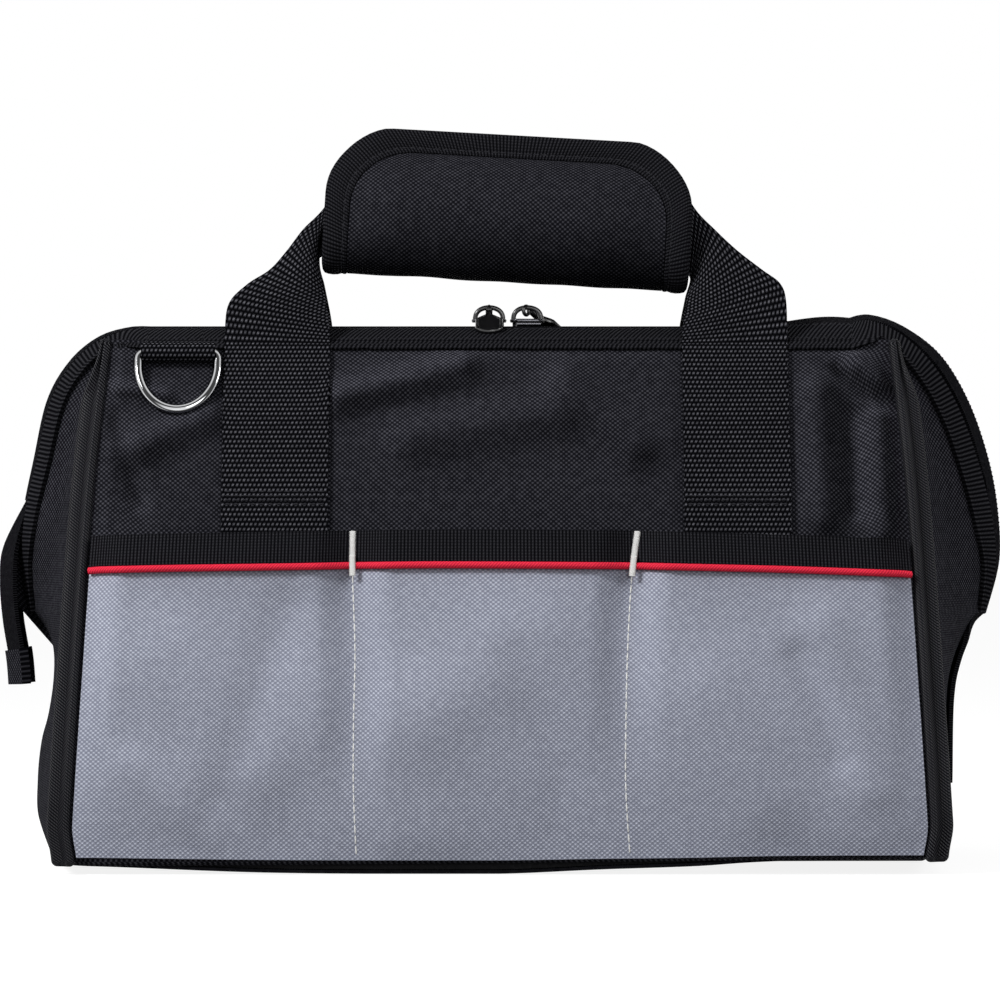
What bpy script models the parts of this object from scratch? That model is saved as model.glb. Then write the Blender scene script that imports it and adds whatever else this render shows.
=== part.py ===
"""Wide-mouth soft tool bag with a zipped top, sewn pockets and a padded grip round its two handles.

Metres, +Z up. +X runs along the zip, the front faces -Y, and the origin is the middle of the base's underside.
"""

import math

import bmesh
import bpy
from mathutils import Matrix, Vector

# Body of the bag
base_length = 0.309
base_depth = 0.1685
seam_height = 0.188
top_length = 0.286
mouth_depth = 0.048
ridge_rise = 0.007
wall_bulge = 0.003
end_bulge = 0.007

# Layers of the walls
fabric = 0.0012
foam = 0.0022
lining = 0.0008
clearance = 0.0003

# Base
base_lip = 0.004
base_corner = 0.0165
base_edge = 0.0022
board_thickness = 0.0025
board_margin = 0.003

# Corner beads
bead_radius = 0.0023
bead_step_out = 0.0043
bead_step_back = 0.0022
second_bead_drop = 0.023
bead_waist_share = 0.62
bead_floor_gap = 0.0010

# Pockets
pocket_height = 0.1197
pocket_mouth_gap = 0.0078
pocket_thickness = 0.0012
pocket_tape_height = 0.0105
pocket_tape = 0.0010
pocket_piping_radius = 0.00125
pocket_sew_width = 0.014
divider_left = -0.053
divider_right = 0.048
bartack_length = 0.016
bartack_width = 0.0025
bartack_thickness = 0.0007

# Zip and its bands
lip_half_length = 0.128
ear_length = 0.0555
band_width = 0.0150
band_thickness = 0.0014
lip_seam_gap = 0.0020
zip_tape = 0.0010
teeth_half_width = 0.0023
teeth_thickness = 0.0025
zip_split = 0.00016
ear_half_depth = 0.020
ear_fold_depth = 0.0125
tail_length = 0.062
tail_half_width = 0.011
tail_fold_depth = 0.0065
tail_tab_length = 0.0125
tail_tab_wall = 0.0010
tail_thickness = 0.0016
right_tail_drift = 0.0045
right_tail_gap = 0.0016
left_zip_share = 0.68
ear_band_share = 0.90

# Sliders and pulls
slider_length = 0.0128
slider_width = 0.0105
slider_plate = 0.0013
slider_plate_gap = 0.0020
slider_post_radius = 0.0016
left_slider_x = -0.0040
right_slider_x = 0.0100
bail_wire_radius = 0.0008
bail_length = 0.0088
bail_height = 0.0051
pull_ring_radius = 0.0026
pull_ring_wire = 0.0006
pull_length = 0.0205
pull_width = 0.0100
pull_thickness = 0.0016
pull_neck_share = 0.26
pull_slope = math.radians(28)
right_pull_turn = math.radians(38)

# Webbing of the handles
webbing_width = 0.0381
webbing = 0.0016
strap_left = -0.0807
strap_right = 0.0837
strap_lift = 0.0004

# Padded grip
grip_length = 0.1330
grip_middle = 0.0016
grip_above_seam = 0.0238
grip_height = 0.0537
grip_half_depth = 0.0165
grip_pad = 0.0042
grip_corner = 0.026
grip_tilt = math.radians(3.2)
grip_binding_width = 0.0085
grip_binding = 0.0052
grip_web_rise = 0.0062
grip_web_half_depth = 0.0070
grip_web_neck = 0.0019
grip_flap_start = 0.0150
grip_entry = 0.0065
closure_height = 0.0085
closure_drop = 0.0010
closure = 0.0006
leg_swell = 0.0040

# D-rings
ring_width = 0.0320
ring_height = 0.0262
ring_wire_radius = 0.00165
ring_to_strap = 0.0006
ring_drop = 0.0045
ring_lean = math.radians(0.2)
tab_width = 0.0220
tab = 0.0012

# Shapes given as shares of the sizes above
corner_shares = [(0, 1), (0.32, 0.74), (0.70, 0.43), (1, 0)]
wall_shares = [
    (0, 1), (0.16, 0.945), (0.32, 0.82), (0.53, 0.60), (0.64, 0.475), (0.80, 0.31), (0.90, 0.165), (1, 0),
]
pocket_gap_shares = [(0, 0.0), (0.25, 0.16), (0.5, 0.38), (0.75, 0.66), (0.9, 0.88), (1, 1)]
left_end_shares = [
    (0, 0), (0.16, 0.62), (0.32, 0.74), (0.48, 0.60), (0.60, 0.36), (0.74, 0.20), (0.86, 0.34), (1, 1),
]
right_end_shares = [
    (0, 0), (0.3, 0.05), (0.6, 0.07), (0.72, 0.13), (0.80, 0.25), (0.88, 0.44), (0.96, 0.74), (1, 1),
]
ear_taper_shares = [(0, 1), (0.55, 1), (0.75, 0.8), (0.9, 0.45), (1, 0.22)]
right_ear_shares = [
    (0.0, 1.0), (0.14, 1.012), (0.36, 1.008), (0.60, 0.952), (0.79, 0.862),
    (0.925, 0.750), (0.985, 0.650), (0.99, 0.560), (0.895, 0.464),
]
left_ear_shares = [
    (0.0, 1.0), (0.14, 1.002), (0.34, 0.990), (0.53, 0.940), (0.68, 0.865),
    (0.77, 0.752), (0.84, 0.650), (0.85, 0.560), (0.79, 0.468),
]
grip_shares = [
    (0, 0), (0.45, 0.012), (0.80, 0.06), (0.98, 0.16), (1.0, 0.27),
    (0.90, 0.47), (0.66, 0.68), (0.42, 0.84), (0.34, 0.94), (0.333, 1.0),
]
leg_inner_shares = [(0, 0, 0), (0.15, 0.22, 0.30), (0.62, 0.60, 0.68), (1.0, 0.92, 0.985)]
left_leg_shares = [
    (0, 0, 0), (0.02, 0.20, 0.20), (0.17, 0.36, 0.31), (0.36, 0.50, 0.39), (0.50, 0.62, 0.49),
    (0.63, 0.76, 0.60), (0.83, 0.90, 0.74), (1, 1, 1),
]
right_leg_shares = [
    (0, 0, 0), (0.0, 0.24, 0.24), (0.05, 0.40, 0.35), (0.21, 0.52, 0.43), (0.43, 0.66, 0.54),
    (0.63, 0.78, 0.66), (0.82, 0.90, 0.79), (1, 1, 1),
]
left_tail_shares = [(0.975, 0.590), (1.0, 0.525), (0.98, 0.450), (0.94, 0.380), (0.925, 0.330)]
tail_neck_share = 0.36
tail_tab_spread_share = 1.08
base_edge_share = 0.3
end_tuck_share = 0.45
end_top_share = 0.20
bead_start_share = 0.02
ear_settle_share = 0.3
zip_tape_share = 0.4
bare_tape_share = 0.8
plate_round_share = 0.6
plate_tail_share = 0.76
post_inset_share = 1.6
bail_arch_power = 0.7
pull_shoulder_share = 0.9
pull_neck_end_share = 0.45
pull_round_share = 0.7
ring_corner_share = 1.5
ring_straight_share = 0.22
tab_hold_share = 0.4
tab_seam_share = 0.9

ridge_height = seam_height + ridge_rise
second_bead_top = seam_height - second_bead_drop
grip_bottom = seam_height + grip_above_seam
sides = {"left": -1, "right": 1}
faces = {"front": -1, "back": 1}
straps = {"left": strap_left, "right": strap_right}
end_shares = {-1: left_end_shares, 1: right_end_shares}
leg_shares = {-1: left_leg_shares, 1: right_leg_shares}


# Small tools

def smooth_step(share):
    share = min(max(share, 0), 1)
    return share * share * (3 - 2 * share)


def along_pairs(pairs, at):
    """The value at a share along the pairs, on a smooth curve that passes through each of them."""
    at = min(max(at, pairs[0][0]), pairs[-1][0])
    slopes = []
    for i in range(len(pairs)):
        before = pairs[max(i - 1, 0)]
        after = pairs[min(i + 1, len(pairs) - 1)]
        slopes.append((after[1] - before[1]) / (after[0] - before[0]))
    i = 0
    while i < len(pairs) - 2 and at > pairs[i + 1][0]:
        i += 1
    (x0, y0), (x1, y1) = pairs[i], pairs[i + 1]
    step = x1 - x0
    t = (at - x0) / step
    return (
        (2 * t**3 - 3 * t**2 + 1) * y0
        + (t**3 - 2 * t**2 + t) * step * slopes[i]
        + (3 * t**2 - 2 * t**3) * y1
        + (t**3 - t**2) * step * slopes[i + 1]
    )


def curve_through(points, count):
    """Points evenly spaced along a smooth curve through the given points."""
    fine = []
    steps = 24
    for i in range(len(points) - 1):
        p0 = points[max(i - 1, 0)]
        p1 = points[i]
        p2 = points[i + 1]
        p3 = points[min(i + 2, len(points) - 1)]
        for k in range(steps):
            t = k / steps
            fine.append(
                0.5 * ((2 * p1) + (p2 - p0) * t + (2 * p0 - 5 * p1 + 4 * p2 - p3) * t**2
                       + (3 * p1 - p0 - 3 * p2 + p3) * t**3)
            )
    fine.append(points[-1].copy())
    lengths = [0]
    for a, b in zip(fine, fine[1:]):
        lengths.append(lengths[-1] + (b - a).length)
    even = []
    k = 0
    for i in range(count + 1):
        want = lengths[-1] * i / count
        while k < len(fine) - 2 and lengths[k + 1] < want:
            k += 1
        run = lengths[k + 1] - lengths[k]
        even.append(fine[k].lerp(fine[k + 1], (want - lengths[k]) / run if run else 0))
    return even


def steps_between(low, high, count):
    return [low + (high - low) * i / count for i in range(count + 1)]


# Objects, materials and collections

def clear_scene():
    for old in list(bpy.data.objects):
        bpy.data.objects.remove(old, do_unlink=True)


def new_collection(name):
    collection = bpy.data.collections.new(name)
    bpy.context.scene.collection.children.link(collection)
    return collection


def finish_material(name, colour, roughness, metallic=0.0):
    material = bpy.data.materials.new(name)
    material.use_nodes = True
    shader = material.node_tree.nodes["Principled BSDF"]
    shader.inputs["Base Color"].default_value = (*colour, 1)
    shader.inputs["Roughness"].default_value = roughness
    shader.inputs["Metallic"].default_value = metallic
    material.diffuse_color = (*colour, 1)
    return material


clear_scene()
bag = new_collection("tool_bag")
cutters = new_collection("cutters")
black_fabric = finish_material("black_fabric", (0.012, 0.012, 0.015), 0.85)
black_webbing = finish_material("black_webbing", (0.014, 0.014, 0.016), 0.80)
black_tape = finish_material("black_tape", (0.013, 0.013, 0.016), 0.85)
grey_fabric = finish_material("grey_fabric", (0.25, 0.27, 0.32), 0.85)
red_piping = finish_material("red_piping", (0.80, 0.02, 0.04), 0.70)
white_thread = finish_material("white_thread", (0.75, 0.75, 0.75), 0.70)
foam_sheet = finish_material("foam_sheet", (0.10, 0.10, 0.10), 0.95)
board = finish_material("board", (0.05, 0.05, 0.05), 0.60)
liner_fabric = finish_material("liner_fabric", (0.02, 0.02, 0.025), 0.80)
zip_plastic = finish_material("zip_plastic", (0.015, 0.015, 0.015), 0.45)
slider_metal = finish_material("slider_metal", (0.10, 0.10, 0.11), 0.30, 1.0)
pull_metal = finish_material("pull_metal", (0.02, 0.02, 0.02), 0.35, 1.0)
ring_metal = finish_material("ring_metal", (0.75, 0.75, 0.77), 0.15, 1.0)
hook_tape = finish_material("hook_tape", (0.01, 0.01, 0.01), 0.95)


def new_object(name, mesh, material):
    obj = bpy.data.objects.new(name, mesh)
    bag.objects.link(obj)
    obj.data.materials.clear()
    obj.data.materials.append(material)
    return obj


def mesh_of(name, points, quads, outward=None):
    """A mesh from its points and faces, merged where they meet, with its faces on the outward side."""
    form = bmesh.new()
    verts = [form.verts.new(p) for p in points]
    for quad in quads:
        form.faces.new([verts[i] for i in quad])
    bmesh.ops.remove_doubles(form, verts=form.verts, dist=clearance / 30)
    form.normal_update()
    if outward:
        facing = sum((f.normal * f.calc_area()).dot(outward(f.calc_center_median())) for f in form.faces)
        if facing < 0:
            bmesh.ops.reverse_faces(form, faces=form.faces)
    mesh = bpy.data.meshes.new(name)
    form.to_mesh(mesh)
    form.free()
    return mesh


def grid_faces(rows, columns, start=0, closed=False):
    quads = []
    last = columns if closed else columns - 1
    for r in range(rows - 1):
        for c in range(last):
            d = (c + 1) % columns
            a = start + r * columns
            b = a + columns
            quads.append((a + c, a + d, b + d, b + c))
    return quads


def sheet(name, rows, thickness, material, outward):
    """A sheet of even thickness whose outer face is the grid of points; outward gives the way it faces."""
    points = [p for row in rows for p in row]
    mesh = mesh_of(name, points, grid_faces(len(rows), len(rows[0])), outward)
    obj = new_object(name, mesh, material)
    solidify = obj.modifiers.new("thickness", "SOLIDIFY")
    solidify.thickness = thickness
    solidify.offset = -1
    return obj


def shell(name, outer, inner, material):
    """A solid between two skins, given as grids of points of the same size, with its edges closed."""
    rows = len(outer)
    columns = len(outer[0])
    points = [p for row in outer + inner for p in row]
    back = rows * columns
    quads = grid_faces(rows, columns)
    quads += [tuple(reversed(q)) for q in grid_faces(rows, columns, back)]
    rim = list(range(columns))
    rim += [r * columns + columns - 1 for r in range(1, rows)]
    rim += [(rows - 1) * columns + c for c in range(columns - 2, -1, -1)]
    rim += [r * columns for r in range(rows - 2, 0, -1)]
    for a, b in zip(rim, rim[1:] + rim[:1]):
        quads.append((b, a, a + back, b + back))
    mesh = mesh_of(name, points, quads)
    form = bmesh.new()
    form.from_mesh(mesh)
    bmesh.ops.recalc_face_normals(form, faces=form.faces)
    form.to_mesh(mesh)
    form.free()
    return new_object(name, mesh, material)


def loft(name, parts, material):
    """Closed solids through rings of points; each part is a list of rings with as many points each."""
    form = bmesh.new()
    for rings in parts:
        size = len(rings[0])
        verts = [[form.verts.new(p) for p in ring] for ring in rings]
        for a, b in zip(verts, verts[1:]):
            for c in range(size):
                d = (c + 1) % size
                form.faces.new((a[c], a[d], b[d], b[c]))
        form.faces.new(list(reversed(verts[0])))
        form.faces.new(verts[-1])
    bmesh.ops.recalc_face_normals(form, faces=form.faces)
    mesh = bpy.data.meshes.new(name)
    form.to_mesh(mesh)
    form.free()
    return new_object(name, mesh, material)


def tube(name, paths, radius, material, sides_count=8, closed=False):
    """Round cords along paths of points, as one object."""
    form = bmesh.new()
    for path in paths:
        data = bpy.data.curves.new(name, "CURVE")
        data.dimensions = "3D"
        data.bevel_depth = radius
        data.bevel_resolution = sides_count // 4
        data.use_fill_caps = not closed
        spline = data.splines.new("POLY")
        spline.points.add(len(path) - 1)
        for point, place in zip(spline.points, path):
            point.co = (*place, 1)
        spline.use_cyclic_u = closed
        guide = bpy.data.objects.new(name + "_guide", data)
        cutters.objects.link(guide)
        bpy.context.view_layer.update()
        evaluated = guide.evaluated_get(bpy.context.evaluated_depsgraph_get())
        made = bpy.data.meshes.new_from_object(evaluated)
        form.from_mesh(made)
        bpy.data.objects.remove(guide, do_unlink=True)
    bmesh.ops.remove_doubles(form, verts=form.verts, dist=clearance / 30)
    bmesh.ops.recalc_face_normals(form, faces=form.faces)
    mesh = bpy.data.meshes.new(name)
    form.to_mesh(mesh)
    form.free()
    return new_object(name, mesh, material)


def united(name, pieces, material):
    """One solid out of several that overlap."""
    first = pieces[0]
    for other in pieces[1:]:
        join = first.modifiers.new("join", "BOOLEAN")
        join.operation = "UNION"
        join.solver = "EXACT"
        join.object = other
    bpy.context.view_layer.update()
    evaluated = first.evaluated_get(bpy.context.evaluated_depsgraph_get())
    mesh = bpy.data.meshes.new_from_object(evaluated)
    mesh.transform(first.matrix_world)
    for piece in pieces:
        bpy.data.objects.remove(piece, do_unlink=True)
    mesh.name = name
    return new_object(name, mesh, material)


def carrier(name, place):
    """An empty on a joint's axis, which the moving pieces hang on."""
    empty = bpy.data.objects.new(name, None)
    empty.empty_display_size = bead_radius
    empty.location = place
    bag.objects.link(empty)
    bpy.context.view_layer.update()
    return empty


def hang(obj, parent):
    obj.parent = parent
    obj.matrix_parent_inverse = parent.matrix_world.inverted()


# The walls as surfaces

def corner_x(z):
    share = along_pairs(corner_shares, z / seam_height)
    return top_length / 2 + (base_length - top_length) / 2 * share


def wall_y(z):
    share = along_pairs(wall_shares, z / seam_height)
    return mouth_depth / 2 + (base_depth - mouth_depth) / 2 * share


def wall_point(x, z, face, out=0.0):
    """A point on the outer face of the front or back wall, or out from it along its normal."""
    def surface(x, z):
        across = x / corner_x(z)
        bulge = wall_bulge * math.sin(math.pi * min(max(z / seam_height, 0), 1)) * (1 - across**2)
        return Vector((x, face * (wall_y(z) + bulge), z))

    point = surface(x, z)
    if not out:
        return point
    small = seam_height / 1000
    to_side = surface(x + small, z) - surface(x - small, z)
    up = surface(x, min(z + small, seam_height)) - surface(x, max(z - small, 0))
    normal = up.cross(to_side) * -face
    normal.normalize()
    if normal.y * face < 0:
        normal = -normal
    return point + normal * out


def faces_out(face):
    return lambda middle: Vector((0, face, 0))


def wall_sheet(name, face, depth, thickness, material, low, high, side_margin, columns, rows):
    """A layer of the front or back wall, so far in from its outer face."""
    grid = []
    for z in steps_between(low, high, rows):
        reach = corner_x(z) - side_margin
        grid.append([wall_point(x, z, face, -depth) for x in steps_between(-reach, reach, columns)])
    return sheet(name, grid, thickness, material, faces_out(face))


# The zip's line over the ends, and the folds beside it

def ear_path(side):
    shares = right_ear_shares if side > 0 else left_ear_shares
    return [Vector((side * (lip_half_length + ear_length * x), 0, ridge_height * z)) for x, z in shares]


ear_steps = 40
ear_lines = {side: curve_through(ear_path(side), ear_steps) for side in sides.values()}


def ear_section(side, share):
    """Where the zip, and the seam of its band, lie at a share of the way down an end."""
    line = ear_lines[side]
    at = share * ear_steps
    low = min(int(at), ear_steps - 1)
    zip_point = line[low].lerp(line[low + 1], at - low)
    before = line[max(low - 1, 0)]
    after = line[min(low + 2, ear_steps)]
    run = (after - before).normalized()
    inward = Vector((-run.z, 0, run.x)) * (1 if side < 0 else -1)
    taper = along_pairs(ear_taper_shares, share)
    settle = smooth_step(share / ear_settle_share)
    width = (mouth_depth / 2 + (ear_half_depth - mouth_depth / 2) * settle) * taper
    depth = (ridge_rise + (ear_fold_depth - ridge_rise) * settle) * taper
    return zip_point, inward, width, depth


def ear_seam(side, share, face):
    zip_point, inward, width, depth = ear_section(side, share)
    return zip_point + inward * depth + Vector((0, face * width, 0))


def make_base():
    """The base's fabric tray, with its edge turned up to the walls, and the stiff board in it."""
    length = corner_x(0) + bead_step_out + clearance
    depth = base_depth / 2 + fabric

    def ring(inset, z):
        points = []
        radius = base_corner - inset
        for quarter in range(4):
            for k in range(7):
                angle = math.pi / 2 * (quarter + k / 6)
                middle_x = (length - base_corner) * (1 if quarter in (0, 3) else -1)
                middle_y = (depth - base_corner) * (1 if quarter in (0, 1) else -1)
                points.append(Vector((
                    middle_x + radius * math.cos(angle), middle_y + radius * math.sin(angle), z,
                )))
        return points

    rings = [
        ring(0, base_lip),
        ring(0, base_edge),
        ring(base_edge * base_edge_share, base_edge * base_edge_share),
        ring(base_edge, 0),
    ]
    count = len(rings[0])
    points = [p for r in rings for p in r]
    quads = grid_faces(len(rings), count, closed=True)
    quads.append(tuple(range(3 * count, 4 * count)))
    mesh = mesh_of("base_panel", points, quads, lambda middle: Vector((middle.x, middle.y, -seam_height)))
    panel = new_object("base_panel", mesh, black_fabric)
    solidify = panel.modifiers.new("thickness", "SOLIDIFY")
    solidify.thickness = fabric
    solidify.offset = -1

    low = fabric + clearance
    inset = fabric + board_margin
    outline = ring(inset, low)
    top = [p + Vector((0, 0, board_thickness)) for p in outline]
    loft("base_board", [[outline, top]], board)


def make_walls():
    """Outer fabric and foam of the front and back."""
    low = base_lip + clearance
    high = seam_height - clearance
    edge = bead_radius + clearance
    for word, face in faces.items():
        wall_sheet(f"{word}_panel", face, 0.0, fabric, black_fabric, low, high, edge, 12, 12)
        wall_sheet(
            f"{word}_foam", face, fabric + clearance, foam, foam_sheet,
            low + foam / 2, high - foam, edge + foam, 8, 10,
        )


def make_liner():
    """One sheet of lining down the front, across the base and up the back."""
    depth = fabric + foam + clearance * 2
    floor = fabric + board_thickness + clearance * 2
    grid = []
    heights = steps_between(seam_height - foam * 2, floor + lining * 4, 8)

    def row(z, face):
        reach = corner_x(z) - bead_radius - foam * 2
        return [wall_point(x, z, face, -depth - lining) for x in steps_between(-reach, reach, 8)]

    for z in heights:
        grid.append(row(z, -1))
    reach = corner_x(0) - bead_radius - foam * 2
    half = base_depth / 2 - depth - lining * 4
    for y in steps_between(-half, half, 4):
        grid.append([Vector((x, y, floor + lining)) for x in steps_between(-reach, reach, 8)])
    for z in reversed(heights):
        grid.append(row(z, 1))
    inside = Vector((0, 0, seam_height / 2))
    sheet("liner", grid, lining, liner_fabric, lambda middle: inside - middle)


# Ends

def corner_start(side, face, z):
    """Where the end fabric starts, beside the corner's beads."""
    fade = smooth_step((seam_height - z) / (seam_height - second_bead_top))
    x = corner_x(z) + bead_step_out * fade + bead_radius * end_tuck_share
    y = wall_y(z) - bead_step_back * fade - bead_radius - clearance * 2
    return Vector((side * x, face * y, z))


def end_middle_x(side, z):
    """How far out the middle of the end fabric lies below the zip's end."""
    ear_end = ear_lines[side][-1]
    end_base = corner_x(0) + end_bulge
    rise = along_pairs(end_shares[side], z / ear_end.z)
    return end_base + (abs(ear_end.x) - end_base) * rise, rise


def end_point(side, z, y, out=0.0):
    """A point on the end fabric below the zip's end, or out from it."""
    face = -1 if y < 0 else 1
    start = corner_start(side, face, z)
    c = 1 - min(abs(y / start.y), 1)
    middle_x, rise = end_middle_x(side, z)
    round_share = math.sin(math.pi / 2 * c) * (1 - rise) + c * rise
    return Vector((start.x + side * (middle_x - abs(start.x)) * round_share + side * out, y, z))


def make_end(word, side):
    """The end fabric: one piece below the zip's end, and two wings beside the zip above it."""
    ear_end = ear_lines[side][-1]
    low = base_lip + clearance
    columns = 5
    rows_low = 9
    rows_high = 10

    def half(face):
        grid = []
        for i in range(rows_low):
            z = low + (ear_end.z - low) * i / rows_low
            start = corner_start(side, face, z)
            grid.append([end_point(side, z, start.y * (1 - k / columns)) for k in range(columns + 1)])
        for i in range(rows_high + 1):
            share = 1 - (1 - end_top_share) * i / rows_high
            seam = ear_seam(side, share, face)
            if i == 0:
                seam = Vector((ear_end.x, 0, ear_end.z))
            z = min(seam.z, seam_height - bead_radius - clearance)
            start = corner_start(side, face, z)
            line = []
            for k in range(columns + 1):
                c = k / columns
                line.append(start.lerp(seam, c))
            grid.append(line)
        return grid

    points = []
    quads = []
    for face in (-1, 1):
        grid = half(face)
        start = len(points)
        quads += [
            q if face < 0 else tuple(reversed(q))
            for q in grid_faces(len(grid), columns + 1, start)
        ]
        points += [p for row in grid for p in row]
    mesh = mesh_of(f"{word}_end_panel", points, quads, lambda middle: Vector((side, 0, 0)))
    panel = new_object(f"{word}_end_panel", mesh, black_fabric)
    solidify = panel.modifiers.new("thickness", "SOLIDIFY")
    solidify.thickness = fabric
    solidify.offset = -1


def bead_ring(first, second, z):
    """The outline of two beads side by side at a height, or of one where the second has run into the first."""
    between = second - first
    turn = math.atan2(between.y, between.x)
    waist = bead_radius * bead_waist_share
    ring = []
    for middle, start in ((second, -0.5), (first, 0.5)):
        for k in range(6):
            angle = turn + math.pi * (start + (k + 0.5) / 6)
            ring.append(Vector((
                middle.x + bead_radius * math.cos(angle), middle.y + bead_radius * math.sin(angle), z,
            )))
        side = turn + math.pi * (start + 1)
        halfway = (first + second) / 2
        ring.append(Vector((halfway.x + waist * math.cos(side), halfway.y + waist * math.sin(side), z)))
    return ring


def make_corner_beads():
    """Two corded beads side by side down each corner, joined by their seam, running into one at the top."""
    top = seam_height - bead_radius * 1.5
    for side_word, side in sides.items():
        for face_word, face in faces.items():
            rings = []
            for z in steps_between(bead_floor_gap, top, 10):
                parting = smooth_step((top - z) / (top - second_bead_top))
                first = Vector((side * corner_x(z), face * wall_y(z), z))
                step = Vector((side * bead_step_out, -face * bead_step_back, 0))
                spread = bead_start_share + (1 - bead_start_share) * parting
                rings.append(bead_ring(first, first + step * spread, z))
            loft(f"corner_piping_{face_word}_{side_word}", [rings], black_fabric)


# Pockets

def pocket_lift(x, z):
    """How far the pocket stands off the wall: sewn down at its dividers, sides and base."""
    share = along_pairs(pocket_gap_shares, z / pocket_height)
    edge = corner_x(z) - bead_radius
    near = min(abs(x - divider_left), abs(x - divider_right), edge - abs(x))
    sewn = smooth_step(near / pocket_sew_width)
    return clearance + (pocket_mouth_gap - clearance) * share * sewn


def pocket_point(x, z, face, out):
    """A point so far out from the pocket's inner face, which stands off the wall on the level."""
    point = wall_point(x, z, face, out)
    return point + Vector((0, face * pocket_lift(x, z), 0))


def pocket_columns(z, margin):
    """Places across the pocket, closer together beside its seams."""
    reach = corner_x(z) - margin
    places = []
    stops = [-reach, divider_left, divider_right, reach]
    for a, b in zip(stops, stops[1:]):
        near = pocket_sew_width / (b - a)
        for share in (0, near / 2, near, 0.5, 1 - near, 1 - near / 2):
            places.append(a + (b - a) * share)
    places.append(reach)
    return places


def pocket_sheet(name, face, low, high, rows, out, thickness, material, margin):
    grid = []
    for z in steps_between(low, high, rows):
        grid.append([pocket_point(x, z, face, out) for x in pocket_columns(z, margin)])
    return sheet(name, grid, thickness, material, faces_out(face))


def make_pockets():
    """A panel sewn into three pockets on the front and back, with a taped and piped mouth and barred seams."""
    low = base_lip + clearance
    margin = bead_radius + clearance * 2
    tape_low = pocket_height - pocket_tape_height
    piping_z = tape_low - pocket_piping_radius - clearance
    for word, face in faces.items():
        pocket_sheet(
            f"{word}_pocket", face, low, pocket_height, 8,
            pocket_thickness, pocket_thickness, grey_fabric, margin,
        )
        skin = pocket_thickness + clearance
        pocket_sheet(
            f"{word}_pocket_tape", face, tape_low, pocket_height + clearance * 2, 2,
            skin + pocket_tape, pocket_tape, black_tape, margin,
        )
        path = [
            pocket_point(x, piping_z, face, skin + pocket_piping_radius)
            for x in pocket_columns(piping_z, margin)
        ]
        tube(f"{word}_pocket_piping", [path], pocket_piping_radius, red_piping)
        for side_word, middle in (("left", divider_left), ("right", divider_right)):
            rings = []
            for z in steps_between(pocket_height - bartack_length, pocket_height, 4):
                over_tape = skin + pocket_tape + clearance
                over_piping = skin + pocket_piping_radius * 2 + clearance
                lift = over_piping if z < tape_low + pocket_piping_radius else over_tape
                ring = []
                for dx, up in ((-1, 0), (1, 0), (1, 1), (-1, 1)):
                    x = middle + dx * bartack_width / 2
                    place = pocket_point(middle, z, face, lift + clearance * 2 + up * bartack_thickness)
                    ring.append(Vector((x, place.y, place.z)))
                rings.append(ring)
            loft(f"{word}_bartack_{side_word}", [rings], white_thread)


# Mouth bands and zip

def zip_profile(zip_point, inward, width, depth, face, toothed=True):
    """The upper and lower outlines of half a zip, from its teeth out along the tape that slopes to the band."""
    across = Vector((0, face, 0))
    length = math.hypot(width, depth)
    tape_end = max(length - band_width - clearance, length * zip_tape_share)
    slope = (across * width + inward * depth) / length
    lift = slope.cross(Vector(inward).cross(across)).normalized()
    if lift.dot(inward) > 0:
        lift = -lift
    half_tape = zip_tape / 2
    reach = min(teeth_half_width, tape_end / 2)
    thick = teeth_thickness / 2 if toothed else half_tape
    inner = zip_split if toothed else reach * bare_tape_share
    end = zip_point + slope * tape_end
    root = zip_point + across * (reach + clearance)
    upper = [
        zip_point + across * inner - inward * thick,
        zip_point + across * reach - inward * thick,
        root - inward * half_tape,
        end + lift * half_tape,
    ]
    lower = [
        zip_point + across * inner + inward * thick,
        zip_point + across * reach + inward * thick,
        root + inward * half_tape,
        end - lift * half_tape,
    ]
    return upper, lower


def zip_half_ring(*section, toothed=True):
    upper, lower = zip_profile(*section, toothed=toothed)
    return upper + lower[::-1]


def closed_zip_ring(*section):
    """The section of the zip where it stays closed, its two rows of teeth in one chain."""
    front_upper, front_lower = zip_profile(*section, -1)
    back_upper, back_lower = zip_profile(*section, 1)
    return front_upper[::-1] + back_upper + back_lower[::-1] + front_lower


def band_ring(zip_point, inward, width, depth, face, seam_gap=clearance * 3):
    """The section of the ribbed band between the seam and the zip's tape."""
    across = Vector((0, face, 0))
    length = math.hypot(width, depth)
    slope = (across * width + inward * depth) / length
    lift = slope.cross(Vector(inward).cross(across)).normalized()
    if lift.dot(inward) > 0:
        lift = -lift
    start = max(length - band_width, length * zip_tape_share + clearance)
    half = band_thickness / 2
    near = zip_point + slope * start
    far = zip_point + slope * (length - seam_gap)
    return [near + lift * half, far + lift * half, far - lift * half, near - lift * half]


def lip_hinge_place(face):
    """The seam edge of a lip's band, which it folds about."""
    slope = Vector((0, face * mouth_depth / 2, -ridge_rise))
    return Vector((0, 0, ridge_height)) + slope * (1 - lip_seam_gap / slope.length)


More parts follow.
